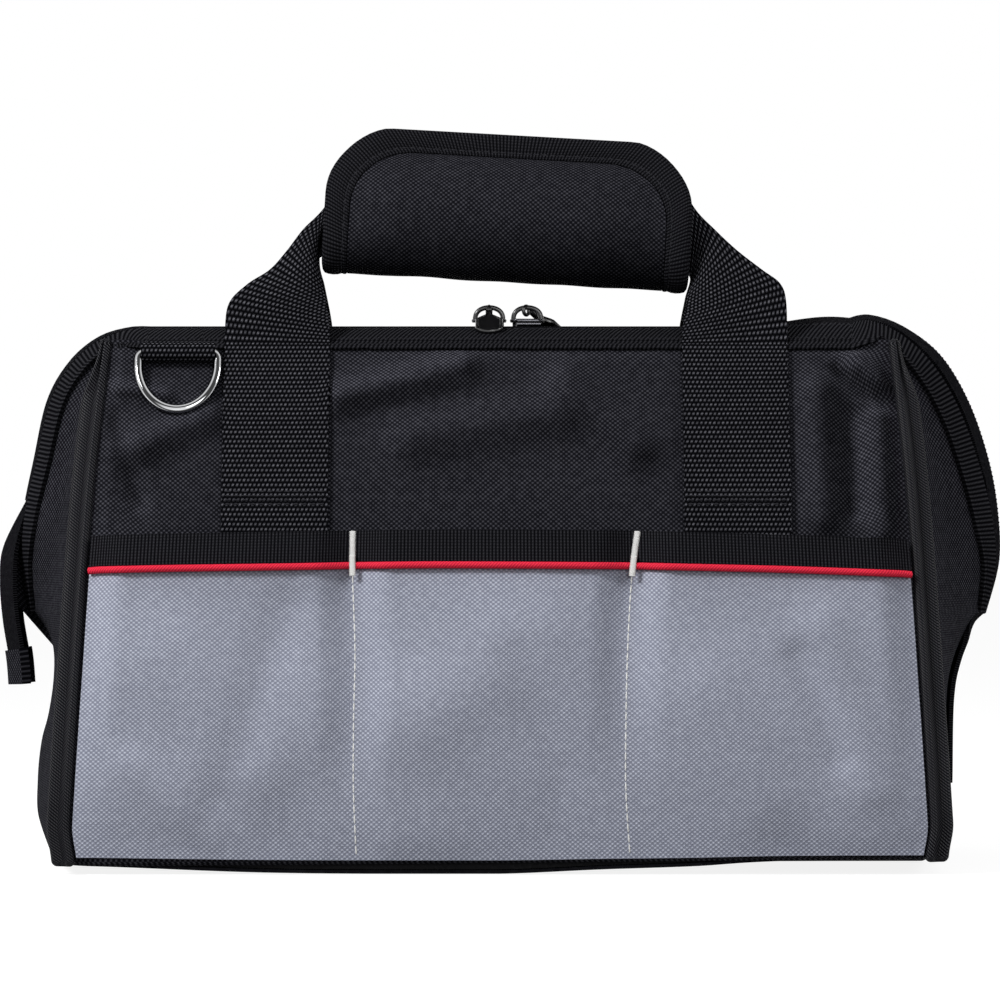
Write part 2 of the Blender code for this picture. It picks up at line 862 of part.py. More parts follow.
def make_lips(hinges):
    """The straight run of the mouth: a band and half of the zip on each side, which part together."""
    up = Vector((0, 0, 1))
    stations = [-lip_half_length, lip_half_length]
    spare = slider_length / 2 + clearance
    gap_low = left_slider_x - spare
    gap_high = right_slider_x + spare
    for word, face in faces.items():
        band = loft(f"{word}_lip_band", [[
            band_ring(Vector((x, 0, ridge_height)), -up, mouth_depth / 2, ridge_rise, face, lip_seam_gap)
            for x in stations
        ]], black_tape)
        rings = []
        for x, toothed in (
            (-lip_half_length, True), (gap_low - clearance, True), (gap_low, False),
            (gap_high, False), (gap_high + clearance, True), (lip_half_length, True),
        ):
            middle = Vector((x, 0, ridge_height))
            rings.append(zip_half_ring(middle, -up, mouth_depth / 2, ridge_rise, face, toothed=toothed))
        zip_half = loft(f"{word}_lip_zip", [rings], zip_plastic)
        hang(band, hinges[word])
        hang(zip_half, hinges[word])


def make_ears():
    """Bands and zip where they turn down over each end."""
    for word, side in sides.items():
        ends = steps_between(clearance / ear_length, ear_band_share, 14)
        for face_word, face in faces.items():
            rings = [band_ring(*ear_section(side, s), face) for s in ends]
            loft(f"ear_band_{face_word}_{word}", [rings], black_tape)
        zip_end = 1 if side > 0 else left_zip_share / ear_band_share
        loft(f"ear_zip_{word}", [[closed_zip_ring(*ear_section(side, s * zip_end)) for s in ends]], zip_plastic)


def folded_strip_ring(middle, inward, width, depth, thickness):
    """The section of a strip folded along its middle, its two sides drawn back."""
    across = Vector((0, 1, 0))
    outer = [
        middle - across * width + inward * depth,
        middle,
        middle + across * width + inward * depth,
    ]
    return outer + [p + inward * thickness for p in reversed(outer)]


def make_left_tail():
    """The loose zip end on the left: it leaves the closed zip, opens out and ends in a folded fabric tab."""
    start, inward, _, _ = ear_section(-1, left_zip_share)
    run = Vector((inward.z, 0, -inward.x))
    path = [start + run * clearance]
    path += [Vector((-(lip_half_length + ear_length * x), 0, ridge_height * z)) for x, z in left_tail_shares]
    steps = 24
    line = curve_through(path, steps)
    length = sum((b - a).length for a, b in zip(line, line[1:]))
    tab_share = 1 - tail_tab_length / length

    def section(share, spread, wall):
        at = share * steps
        low = min(int(at), steps - 1)
        middle = line[low].lerp(line[low + 1], at - low)
        ahead = (line[min(low + 2, steps)] - line[max(low - 1, 0)]).normalized()
        behind = Vector((-ahead.z, 0, ahead.x))
        opened = spread * (tail_neck_share + (1 - tail_neck_share) * smooth_step(share / tail_neck_share))
        return folded_strip_ring(
            middle - behind * wall, behind, tail_half_width * opened, tail_fold_depth * opened,
            tail_thickness + wall * 2,
        )

    strip = [section(share, 1, 0) for share in steps_between(0, tab_share - clearance / length, 12)]
    loft("left_zip_tail", [strip], black_tape)
    cover = [section(share, tail_tab_spread_share, tail_tab_wall) for share in steps_between(tab_share, 1, 3)]
    loft("left_tail_tab", [cover], black_fabric)


def make_straps():
    """The handle webbing sewn flat to the walls, below the mouth."""
    low = pocket_height + clearance * 3
    high = seam_height - clearance * 2
    for face_word, face in faces.items():
        for side_word, middle in straps.items():
            edges = steps_between(middle - webbing_width / 2, middle + webbing_width / 2, 2)
            grid = [
                [wall_point(x, z, face, strap_lift + webbing) for x in edges]
                for z in steps_between(low, high, 8)
            ]
            sheet(f"strap_{face_word}_{side_word}", grid, webbing, black_webbing, faces_out(face))


# The handles and their grip

def grip_place(x, y, z):
    """A point of the level grip, put where the grip sits, tipped a little to the right."""
    dx = x - grip_middle
    dz = z - grip_bottom
    return Vector((
        grip_middle + dx * math.cos(grip_tilt) + dz * math.sin(grip_tilt),
        y,
        grip_bottom + dz * math.cos(grip_tilt) - dx * math.sin(grip_tilt),
    ))


grip_steps = 48
grip_line = curve_through(
    [Vector((0, grip_half_depth * y, grip_height * z)) for y, z in grip_shares], grip_steps,
)
grip_arc = sum((b - a).length for a, b in zip(grip_line, grip_line[1:]))


def grip_point(x, arc, face, out=0.0):
    """A point on the grip's skin: so far round its section from the middle of its fold, and out from it."""
    at = min(max(abs(arc) / grip_arc, 0), 1) * grip_steps
    low = min(int(at), grip_steps - 1)
    point = grip_line[low].lerp(grip_line[low + 1], at - low)
    if low == 0:
        run = grip_line[1] - grip_line[0]
        run = run.lerp(Vector((0, run.length, 0)), 1 - at)
    else:
        run = grip_line[min(low + 2, grip_steps)] - grip_line[low - 1]
    normal = Vector((0, run.z, -run.y)).normalized()
    point = point + normal * out
    way = face if arc >= 0 else -face
    return grip_place(x, way * point.y, grip_bottom + point.z)


def grip_outline(inset, low):
    """The bound edge of a grip half as (x, arc) pairs: up one side, round its corners, and down the other."""
    half = grip_length / 2 - inset
    corner = grip_corner - inset
    straight = grip_arc - grip_corner
    pairs = [(-half, a) for a in steps_between(low, straight, 5)]
    for k in range(1, 6):
        angle = math.pi / 2 * k / 5
        pairs.append((-half + corner * (1 - math.cos(angle)), straight + corner * math.sin(angle)))
    right = [(-x, a) for x, a in reversed(pairs)]
    return pairs + [(0, straight + corner)] + right


def grip_pad_rows(low, inset, face, out, columns):
    """Rows across a grip half, from low up to its bound edge."""
    corner = grip_corner - inset
    straight = grip_arc - grip_corner
    rows = []
    arcs = steps_between(low, straight, 8)
    arcs += [straight + corner * math.sin(math.pi / 2 * k / 5) for k in range(1, 6)]
    for arc in arcs:
        above = max(arc - straight, 0) / corner
        half = grip_length / 2 - inset - corner * (1 - math.sqrt(max(1 - above**2, 0)))
        rows.append([
            grip_point(grip_middle + x, arc, face, out) for x in steps_between(-half, half, columns)
        ])
    return rows


def grip_binding_rows(low, face, under):
    """Rows across the binding along the bound edge, on its outer side or under it."""
    outer = grip_outline(0, low)
    middle = grip_outline(grip_binding_width / 2, low)
    inner = grip_outline(grip_binding_width, low)
    edge, crown = binding_outs(under)
    return [
        [
            grip_point(grip_middle + x0, a0, face, edge),
            grip_point(grip_middle + x1, a1, face, crown),
            grip_point(grip_middle + x2, a2, face, edge),
        ]
        for (x0, a0), (x1, a1), (x2, a2) in zip(outer, middle, inner)
    ]


def binding_outs(under):
    """How far out the binding's edges and its middle lie, on its outer side or under it."""
    rise = grip_binding - grip_pad
    if under:
        return -grip_pad - rise / 4, -grip_pad - rise / 2
    return rise / 4, rise / 2


def make_grip(handle, flap):
    """The padded grip: a back with its fold, a front flap that closes on it, their bindings and the closure."""
    inset = grip_binding_width + clearance
    fold = grip_flap_start - clearance * 2
    skins = (0.0, -grip_pad)
    pad = shell(
        "grip_flap", *[grip_pad_rows(grip_flap_start, inset, -1, out, 8) for out in skins], black_fabric,
    )
    binding = shell(
        "grip_flap_binding", *[grip_binding_rows(grip_flap_start, -1, under) for under in (False, True)],
        black_tape,
    )
    half = grip_length / 2
    folded = steps_between(-fold, 0, 4)[:-1]

    def back_rows(out):
        under = [
            [grip_point(grip_middle + x, arc, 1, out) for x in steps_between(inset - half, half - inset, 8)]
            for arc in folded
        ]
        return under + grip_pad_rows(0, inset, 1, out, 8)

    def back_binding_rows(under):
        edge, crown = binding_outs(under)
        runs = []
        for x_sign in (-1, 1):
            runs.append([
                [
                    grip_point(grip_middle + x_sign * half, arc, 1, edge),
                    grip_point(grip_middle + x_sign * (half - grip_binding_width / 2), arc, 1, crown),
                    grip_point(grip_middle + x_sign * (half - grip_binding_width), arc, 1, edge),
                ]
                for arc in folded
            ])
        return runs[0] + grip_binding_rows(0, 1, under) + runs[1][::-1]

    back = shell("grip_back", *[back_rows(out) for out in skins], black_fabric)
    back_binding = shell(
        "grip_back_binding", *[back_binding_rows(under) for under in (False, True)], black_tape,
    )
    top = grip_arc - grip_binding_width - closure_drop
    strips = []
    for name, face in (("grip_hook_strip", -1), ("grip_loop_strip", 1)):
        reach = half - grip_corner
        lifts = (-grip_pad - clearance, -grip_pad - clearance - closure)
        strips.append(shell(name, *[
            [
                [grip_point(grip_middle + x, arc, face, out) for x in steps_between(-reach, reach, 6)]
                for arc in steps_between(top - closure_height, top, 2)
            ]
            for out in lifts
        ], hook_tape))
    for obj in (pad, binding, strips[0]):
        hang(obj, flap)
    for obj in (back, back_binding, strips[1]):
        hang(obj, handle)


def grip_web_edges(x, face):
    """The lower and upper edges of a handle's webbing inside the grip."""
    rise = math.sqrt(webbing_width**2 - (grip_web_half_depth - grip_web_neck) ** 2)
    low = grip_place(x, face * grip_web_half_depth, grip_bottom + grip_web_rise)
    high = grip_place(x, face * grip_web_neck, grip_bottom + grip_web_rise + rise)
    return low, high


def make_handles(handle):
    """Each handle is one webbing: sewn legs, free legs that turn in to the grip, and the run inside it."""
    low_x = grip_middle - grip_length / 2 + grip_entry
    high_x = grip_middle + grip_length / 2 - grip_entry
    leg_steps = 11
    for face_word, face in faces.items():
        inside = [grip_web_edges(x, face) for x in steps_between(low_x + clearance, high_x - clearance, 4)]
        rows = [list(pair) for pair in inside]
        run = sheet(f"handle_{face_word}", rows, webbing, black_webbing, faces_out(face))
        hang(run, handle)
        for side_word, side in sides.items():
            middle = straps[side_word]
            near = middle - side * webbing_width / 2
            far = middle + side * webbing_width / 2
            entry = low_x if side < 0 else high_x
            low, high = grip_web_edges(entry, face)
            turn = entry + side * (grip_entry + webbing)
            base = wall_point(middle, seam_height, face, strap_lift + webbing)
            base.z = seam_height + clearance

            def way(start_x, end_x, top, shares):
                return [
                    Vector((
                        start_x + (end_x - start_x) * reach, base.y + (top.y - base.y) * depth,
                        base.z + (top.z - base.z) * rise,
                    ))
                    for reach, depth, rise in shares
                ]

            inner_points = way(near, turn, low, leg_inner_shares) + [low]
            outer_points = way(far, high.x, high, leg_shares[side])
            inner = curve_through(inner_points, leg_steps)
            outer = curve_through(outer_points, leg_steps)
            rows = []
            for k, (a, b) in enumerate(zip(inner, outer)):
                swell = leg_swell * math.sin(math.pi * k / leg_steps) ** 2
                row = []
                for c in steps_between(0, 1, 4):
                    point = a.lerp(b, c) + Vector((0, face * swell * 4 * c * (1 - c), 0))
                    row.append(point)
                rows.append(row)
            sheet(f"leg_{face_word}_{side_word}", rows, webbing, black_webbing, faces_out(face))


# Sliders and pulls

def rounded_plate(name, length, head, tail, low, high, place):
    """A plate with a round head and a narrower round tail."""
    outline = []
    for k in range(9):
        angle = -math.pi / 2 + math.pi * k / 8
        outline.append((length / 2 + head * plate_round_share * (math.cos(angle) - 1), head * math.sin(angle)))
    for k in range(9):
        angle = math.pi / 2 + math.pi * k / 8
        outline.append((-length / 2 + tail * plate_round_share * (math.cos(angle) + 1), tail * math.sin(angle)))
    rings = [[place @ Vector((x, y, z)) for x, y in outline] for z in (low, high)]
    return loft(name, [rings], slider_metal)


def make_slider(word, x, head_side, body):
    """A zip slider: two plates on a post, with an arched bail over them."""
    place = Matrix.Translation((x, 0, ridge_height)) @ Matrix.Scale(head_side, 4, (1, 0, 0))
    top_low = slider_plate_gap
    head = slider_width / 2
    tail = head * plate_tail_share
    top = rounded_plate("top", slider_length, head, tail, top_low, top_low + slider_plate, place)
    under = rounded_plate("under", slider_length, head, tail, -top_low - slider_plate, -top_low, place)
    post_x = slider_length / 2 - slider_post_radius * post_inset_share
    post_reach = top_low + slider_plate / 2
    post_path = [place @ Vector((post_x, 0, z)) for z in (-post_reach, post_reach)]
    post = tube("post", [post_path], slider_post_radius, slider_metal)
    arch = []
    foot = top_low + slider_plate / 2
    for k in range(11):
        angle = math.pi * k / 10
        arch.append(place @ Vector((
            -bail_length / 2 * math.cos(angle), 0,
            foot + (bail_height - bail_wire_radius + slider_plate / 2) * math.sin(angle) ** bail_arch_power,
        )))
    bail = tube("bail", [arch], bail_wire_radius, slider_metal)
    slider = united(f"slider_{word}", [top, under, post, bail], slider_metal)
    hang(slider, body)
    return slider


def make_pull(word, hinge, heading, parent):
    """A pull: a small ring round the bail and a flat tongue, lying down the band."""
    turn = Matrix.Translation(hinge) @ Matrix.Rotation(heading, 4, "Z") @ Matrix.Rotation(pull_slope, 4, "Y")
    ring_path = []
    for k in range(12):
        angle = 2 * math.pi * k / 12
        across = pull_ring_radius * math.cos(angle)
        ring_path.append(turn @ Vector((across, 0, pull_ring_radius * math.sin(angle))))
    ring = tube("ring", [ring_path], pull_ring_wire, pull_metal, closed=True)
    half = pull_width / 2
    start = pull_ring_radius - pull_ring_wire / 2
    neck = half * pull_neck_share
    neck_end = start + half * pull_neck_end_share
    shoulder = start + half * pull_shoulder_share
    outline = [(start, -neck), (neck_end, -neck), (shoulder, -half)]
    for k in range(9):
        angle = -math.pi / 2 + math.pi * k / 8
        outline.append((pull_length + half * pull_round_share * (math.cos(angle) - 1), half * math.sin(angle)))
    outline += [(shoulder, half), (neck_end, neck), (start, neck)]
    rings = [[turn @ Vector((x, y, z)) for x, y in outline] for z in (-pull_thickness / 2, pull_thickness / 2)]
    tongue = loft("tongue", [rings], pull_metal)
    pull = united(f"pull_{word}", [tongue, ring], pull_metal)
    hang(pull, parent)


def make_sliders():
    bail_z = ridge_height + slider_plate_gap + slider_plate + bail_height - bail_wire_radius
    for word, x, head_side, heading in (
        ("left", left_slider_x, 1, -math.pi / 2),
        ("right", right_slider_x, -1, math.pi / 2 - right_pull_turn),
    ):
        body = carrier(f"slider_{word}_way", (x, 0, ridge_height))
        make_slider(word, x, head_side, body)
        hinge = (x, 0, bail_z)
        make_pull(word, hinge, heading, carrier(f"pull_{word}_hinge", hinge))


# D-rings

def ring_frame(face):
    """Where a D-ring's bar lies, the way up the wall there and the way out from it."""
    z = seam_height - ring_drop
    out = clearance * 2 + tab + ring_wire_radius
    wall_slope = math.atan2(wall_y(z - ring_height) - wall_y(z), ring_height)
    slope = wall_slope - ring_lean
    up = Vector((0, -face * math.sin(slope), math.cos(slope)))
    normal = Vector((0, face * math.cos(slope), math.sin(slope)))
    strap = straps["left" if face < 0 else "right"]
    middle = strap + face * (webbing_width / 2 + ring_to_strap + ring_width / 2)
    bar = wall_point(middle, z, face) + normal * out
    return bar, up, normal


def make_d_ring(word, face):
    """A D-ring, lying down the wall, in its folded webbing tab."""
    bar, up, normal = ring_frame(face)
    half = ring_width / 2 - ring_wire_radius
    fall = ring_height - ring_wire_radius * 2
    corner = ring_wire_radius * ring_corner_share
    path = []
    for k in range(4):
        angle = math.pi / 2 * k / 3
        path.append((half - corner + corner * math.sin(angle), corner * math.cos(angle) - corner))
    straight = fall * ring_straight_share
    for k in range(1, 11):
        angle = math.pi * k / 11
        path.append((half * math.cos(angle), -straight - (fall - straight) * math.sin(angle)))
    for k in range(4):
        angle = math.pi / 2 * (3 - k) / 3
        path.append((-half + corner - corner * math.sin(angle), corner * math.cos(angle) - corner))
    places = [bar + Vector((x, 0, 0)) + up * s for x, s in path]
    ring = tube(f"d_ring_{word}", [places], ring_wire_radius, ring_metal, closed=True)
    hang(ring, carrier(f"d_ring_{word}_hinge", bar))
    loop = ring_wire_radius + clearance + tab
    seam = Vector((bar.x, face * (mouth_depth / 2 + clearance * 3 + tab), seam_height - clearance * 2))
    hold = up * loop * tab_hold_share
    points = [seam - Vector((0, 0, tab)), bar + hold - normal * loop]
    for k in range(1, 6):
        angle = math.pi * k / 6
        points.append(bar - normal * loop * math.cos(angle) - up * loop * math.sin(angle))
    points.append(bar + hold + normal * loop)
    points.append(seam + normal * loop * tab_seam_share + up * tab * tab_hold_share)
    rows = []
    for point in curve_through(points, 18):
        rows.append([point + Vector((dx, 0, 0)) for dx in (-tab_width / 2, tab_width / 2)])
    sheet(
        f"d_ring_tab_{word}", rows, tab, black_webbing,
        lambda middle: Vector((0, middle.y - bar.y, middle.z - bar.z)),
    )


def make_right_tail():
    """The right zip end, which hangs from the closed zip and lies flat on the end fabric."""
    rows = []
    ear_end = ear_lines[1][-1]
    for share in steps_between(clearance / tail_length, 1, 8):
        z = ear_end.z - tail_length * share
        middle = right_tail_drift * share
        rows.append([
            end_point(1, z, y, right_tail_gap + tail_thickness)
            for y in steps_between(middle - tail_half_width, middle + tail_half_width, 4)
        ])
    sheet("right_zip_tail", rows, tail_thickness, black_tape, lambda middle: Vector((1, 0, 0)))


make_base()
make_walls()
make_liner()
for end_word, end_side in sides.items():
    make_end(end_word, end_side)
make_corner_beads()
make_pockets()
lip_hinges = {
    word: carrier(f"{word}_lip_hinge", lip_hinge_place(face)) for word, face in faces.items()
}
make_lips(lip_hinges)
make_ears()
make_left_tail()
make_right_tail()
make_straps()
handle_hinge = carrier("handle_hinge", (0, 0, seam_height))
flap_hinge = carrier("flap_hinge", grip_point(grip_middle, grip_flap_start, -1, grip_binding - grip_pad))
hang(flap_hinge, handle_hinge)
make_handles(handle_hinge)
make_grip(handle_hinge, flap_hinge)
make_sliders()
for ring_word, ring_face in faces.items():
    make_d_ring(ring_word, ring_face)
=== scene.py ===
"""Looks of the soft tool bag: cloth, webbing, piping, stitches, zip and metal parts, and their stage.

Metres, +Z up. +X runs along the zip, the front faces -Y, and the origin is under the middle of the base.
"""

import functools
from math import atan2, cos, exp, hypot, pi, radians, sin, sqrt

import bpy
from bpy.props import FloatProperty, FloatVectorProperty, PointerProperty
from mathutils import Matrix, Vector, noise


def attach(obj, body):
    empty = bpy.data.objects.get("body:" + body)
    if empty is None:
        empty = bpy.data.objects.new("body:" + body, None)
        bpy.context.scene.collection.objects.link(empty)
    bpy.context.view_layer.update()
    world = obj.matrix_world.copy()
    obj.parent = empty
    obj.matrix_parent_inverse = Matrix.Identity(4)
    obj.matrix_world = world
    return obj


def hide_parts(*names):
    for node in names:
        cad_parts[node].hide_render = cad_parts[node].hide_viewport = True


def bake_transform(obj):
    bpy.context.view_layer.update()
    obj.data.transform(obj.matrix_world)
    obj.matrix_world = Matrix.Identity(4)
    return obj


bl_info = {
    "name": "Soft tool bag",
    "version": (1, 0, 0),
    "blender": (4, 5, 0),
    "location": "View3D > Sidebar > Tool bag",
    "description": "A zipped tool bag of woven polyester with piped corners, sewn pockets and a padded grip",
    "category": "Add Mesh",
}

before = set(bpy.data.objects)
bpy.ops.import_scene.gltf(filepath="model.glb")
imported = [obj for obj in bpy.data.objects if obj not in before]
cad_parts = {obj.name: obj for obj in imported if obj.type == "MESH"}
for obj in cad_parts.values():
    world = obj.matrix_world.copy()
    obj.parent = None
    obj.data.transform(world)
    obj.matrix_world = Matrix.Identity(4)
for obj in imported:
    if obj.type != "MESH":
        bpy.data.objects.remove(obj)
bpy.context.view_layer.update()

# Body of the bag
base_length = 0.309
base_depth = 0.1685
seam_height = 0.188
top_length = 0.286
mouth_depth = 0.048
ridge_rise = 0.007
wall_bulge = 0.003
end_bulge = 0.007
end_dip = 0.0016
wall_wave_width = 0.05
wall_wave_height = 0.035
fabric = 0.0012
foam = 0.0022
lining = 0.0008
clearance = 0.0003

# Base
base_lip = 0.0046
base_corner = 0.0165
base_edge = 0.0030
corner_tuck = 0.0026
corner_tuck_height = 0.017
board_thickness = 0.0025
toe_height = 0.0054
toe_fade = 0.030

# Corner beads
bead_radius = 0.0023
bead_cord_share = 0.94
bead_step_out = 0.0043
bead_step_back = 0.0022
second_bead_drop = 0.023
bead_waist_share = 0.1
bead_floor_gap = 0.0010

# Pockets
pocket_height = 0.1197
pocket_mouth_gap = 0.0078
pocket_thickness = 0.0012
pocket_tape_height = 0.0105
pocket_tape = 0.0010
pocket_piping_radius = 0.00125
pocket_sew_width = 0.014
left_mouth_sag = 0.0021
right_mouth_sag = 0.0035
divider_left = -0.053
divider_right = 0.048
divider_drift = 0.0045
bartack_length = 0.016
bartack_width = 0.0025
pocket_wave_width = 0.06
pocket_wave_height = 0.04

# Zip and its bands
lip_half_length = 0.128
ear_length = 0.0555
band_width = 0.0150
band_thickness = 0.0014
lip_seam_gap = 0.0020
lip_blend = 0.020
hem = 0.0022
band_slant = 0.45
corner_rise = 0.0024
ridge_swell = 0.0038
ridge_swell_x = 0.121
ridge_swell_width = 0.020
zip_tape = 0.0010
teeth_half_width = 0.0023
teeth_thickness = 0.0025
ear_half_depth = 0.020
ear_fold_depths = {-1: 0.0070, 1: 0.0125}
ear_band_width = 0.0118
tail_length = 0.062
tail_half_width = 0.011
tail_fold_depth = 0.0065
tail_tab_length = 0.0125
tail_tab_wall = 0.0010
tail_thickness = 0.0016
right_tail_drift = 0.0045
right_tail_gap = 0.0016
web_foot = 0.078
web_tuck = 0.008
left_zip_share = 0.68

# Sliders and pulls
slider_length = 0.0128
slider_width = 0.0105
slider_plate = 0.0013
slider_plate_gap = 0.0020
slider_post_radius = 0.0016
left_slider_x = -0.0040
right_slider_x = 0.0100
bail_wire_radius = 0.0009
bail_length = 0.0102
bail_height = 0.0051
pull_start = 0.0020
pull_ring_radius = 0.0016
pull_ring_wire = 0.0007
pull_length = 0.0205
pull_width = 0.0100
pull_thickness = 0.0016
pull_neck_share = 0.26
pull_slope = radians(28)
right_pull_turn = radians(38)

# Webbing of the handles
webbing_width = 0.0381
webbing = 0.0016
strap_left = -0.0807
strap_right = 0.0850
strap_lift = 0.0004

# Padded grip
grip_length = 0.1330
grip_middle = 0.0016
grip_above_seam = 0.0238
grip_height = 0.0537
grip_half_depth = 0.0165
grip_pad = 0.0042
grip_corner = 0.026
grip_tilt = radians(3.2)
grip_binding_width = 0.0085
grip_binding = 0.0052
grip_web_rise = 0.0062
grip_web_half_depth = 0.0070
grip_web_neck = 0.0019
grip_flap_start = 0.0070
grip_fold_middle = 0.0150
grip_entry = 0.0065
closure_height = 0.0085
closure_drop = 0.0010
closure = 0.0006
leg_swell = 0.0040
grip_pucker_width = 0.02
grip_pucker_height = 0.03

# D-rings
ring_width = 0.0320
ring_height = 0.0262
ring_wire_radius = 0.00165
ring_to_strap = 0.0006
ring_drop = 0.0045
ring_lean = radians(0.2)
tab_width = 0.0268
tab = 0.0012

# Camera, as the photograph was taken
camera_distance = 2.16
camera_height = 0.1319
camera_lens = 212
camera_sensor = 36

# Lamps: where each stands, its width and its power in watts
lamps = {
    "key_light": ((-1.1, -0.8, 1.1), 0.45, 26),
    "front_light": ((0.6, -1.8, 0.7), 0.9, 8),
    "right_light": ((1.5, -0.4, 0.9), 0.6, 8),
}

# Textures that follow no thread, as so many to the metre
patches_per_metre = 38
spun_fibres_per_metre = 2400
board_fibres_per_metre = 900
moulding_marks_per_metre = 700
rub_marks_per_metre = 420
enamel_marks_per_metre = 380

# The angle between two faces from which their edge shows as a crease
crease_angle = radians(50)

# Shapes given as shares of the sizes above
corner_shares = [(0, 1), (0.32, 0.74), (0.70, 0.43), (1, 0)]
wall_shares = [
    (0, 1), (0.16, 0.945), (0.32, 0.82), (0.53, 0.60),
    (0.64, 0.475), (0.80, 0.31), (0.90, 0.165), (1, 0),
]
pocket_gap_shares = [(0, 0.0), (0.25, 0.16), (0.5, 0.38), (0.75, 0.66), (0.9, 0.88), (1, 1)]
left_end_shares = [
    (0, 0), (0.16, 0.72), (0.32, 0.78), (0.48, 0.64), (0.60, 0.36), (0.74, 0.16), (0.86, 0.20), (0.95, 0.58),
    (1, 1),
]
right_end_shares = [
    (0, 0), (0.3, 0.05), (0.6, 0.07), (0.72, 0.13), (0.80, 0.25), (0.88, 0.44), (0.96, 0.74), (1, 1),
]
ear_taper_shares = [(0, 1), (0.55, 1), (0.75, 0.8), (0.9, 0.45), (1, 0.22)]
right_ear_shares = [
    (0.0, 1.0), (0.14, 1.012), (0.36, 0.998), (0.60, 0.950), (0.79, 0.862),
    (0.925, 0.750), (0.985, 0.650), (0.99, 0.560), (0.895, 0.464),
]
left_ear_shares = [
    (0.0, 1.0), (0.14, 0.999), (0.34, 0.982), (0.53, 0.938), (0.68, 0.865),
    (0.77, 0.752), (0.84, 0.650), (0.85, 0.560), (0.79, 0.468),
]
grip_shares = [
    (0, 0), (0.45, 0.012), (0.80, 0.06), (0.98, 0.16), (1.0, 0.27),
    (0.90, 0.47), (0.66, 0.68), (0.42, 0.84), (0.34, 0.94), (0.333, 1.0),
]
leg_inner_shares = [(0, 0, 0), (0.15, 0.22, 0.30), (0.62, 0.60, 0.68), (1.0, 0.92, 0.985)]
left_leg_shares = [
    (0, 0, 0), (0.02, 0.20, 0.20), (0.17, 0.36, 0.31), (0.36, 0.50, 0.39), (0.50, 0.62, 0.49),
    (0.63, 0.76, 0.60), (0.83, 0.90, 0.74), (1, 1, 1),
]
right_leg_shares = [
    (0, 0, 0), (0.0, 0.24, 0.24), (0.05, 0.40, 0.35), (0.21, 0.52, 0.43), (0.43, 0.66, 0.54),
    (0.63, 0.78, 0.66), (0.82, 0.90, 0.79), (1, 1, 1),
]
left_tail_shares = [(0.975, 0.590), (1.0, 0.525), (0.98, 0.450), (0.94, 0.380), (0.925, 0.330)]
tail_neck_share = 0.36
tail_tab_spread_share = 1.08
web_share = 0.5
tail_settle_share = 0.2
end_tuck_share = 0.45
grip_inner_corner_share = 0.35
zip_tape_share = 0.4
ear_settle_share = 0.3
ear_ease_share = 0.12
hem_shares = [(0.12, 1.12), (0.5, 1.22), (1.0, 1.2)]
# How strongly light and shade are painted into the colour of the walls and pockets from the slopes of their
# folds
wall_painted_shade_share = 0.7
pocket_painted_shade_share = 0.13
# How dark the painted shade on the grip's underside is, and how far up the grip it reaches
grip_painted_shade_share = 0.62
grip_painted_shade_reach_share = 0.42

# How far the base's edge stands off the floor, from its left end to its right
toe_shares = [
    (-1, 0.50), (-0.9, 0.46), (-0.57, 0.10), (-0.3, 0), (0, 0), (0.23, 0.28), (0.45, 0.50), (0.57, 0.74),
    (0.7, 0.88), (1, 1),
]
toe_wall_share = 0.35
toe_bead_share = 0.6

# How far the sewn divider lines stray from straight, up the pocket
left_divider_shares = [(0, 0.60), (0.24, 0.31), (0.44, 0.29), (0.65, 0.36), (0.87, 0.13), (1, 0.11)]
right_divider_shares = [(0, -0.40), (0.24, -0.80), (0.44, -0.78), (0.65, -0.62), (0.87, -0.24), (1, 0.22)]

# Soft folds of the walls: from one place to another, each with its width and height
front_fold_shares = [
    (0.80, 0.91, 0.81, 0.67, 0.9, 1.0), (0.885, 0.86, 0.89, 0.68, 0.45, -0.7),
    (0.955, 0.86, 0.96, 0.64, 0.6, 0.8), (0.86, 0.95, 0.975, 0.875, 0.3, -0.6),
    (0.885, 0.96, 0.985, 0.90, 0.3, 0.7), (0.90, 0.97, 0.96, 0.93, 0.5, 1.0),
    (-0.40, 0.90, -0.10, 0.955, 0.8, 1.1), (-0.22, 0.82, 0.14, 0.87, 1.2, 0.7),
    (0.16, 0.93, 0.34, 0.80, 0.9, 0.8), (-0.92, 0.80, -0.74, 0.86, 0.8, 0.7),
    (-0.97, 0.92, -0.84, 0.90, 0.3, 0.7), (-0.97, 0.86, -0.90, 0.70, 0.5, -0.5),
]
back_fold_shares = [
    (-0.80, 0.92, -0.78, 0.68, 0.9, 0.9), (-0.93, 0.82, -0.95, 0.62, 0.5, 0.6),
    (0.40, 0.86, 0.06, 0.94, 1.0, 1.0), (0.22, 0.80, -0.16, 0.88, 1.2, 0.8),
    (-0.22, 0.90, -0.38, 0.78, 1.0, 0.6), (0.92, 0.80, 0.74, 0.85, 0.8, 0.5),
]
# Soft swells of the pocket cloth, over its own height
pocket_fold_shares = [
    (-0.80, 0.42, -0.62, 0.20, 2.2, 1.0), (-0.52, 0.50, -0.70, 0.10, 1.2, -0.6),
    (-0.16, 0.30, 0.10, 0.46, 2.4, 1.0), (0.22, 0.10, 0.05, 0.40, 1.2, -0.5),
    (0.52, 0.34, 0.66, 0.14, 1.8, 0.9), (0.80, 0.46, 0.92, 0.16, 1.2, 0.8),
    (0.74, 0.40, 0.84, 0.22, 0.8, -0.7), (-0.90, 0.20, -0.72, 0.06, 1.0, 0.6),
]

second_bead_top = seam_height - second_bead_drop
grip_bottom = seam_height + grip_above_seam
ridge_height = seam_height + ridge_rise
sides = {"left": -1, "right": 1}
faces = {"front": -1, "back": 1}
straps = {"left": strap_left, "right": strap_right}
end_shares = {-1: left_end_shares, 1: right_end_shares}
leg_shares = {-1: left_leg_shares, 1: right_leg_shares}
teeth_shift = teeth_half_width * 0.42


# Settings that a user would change

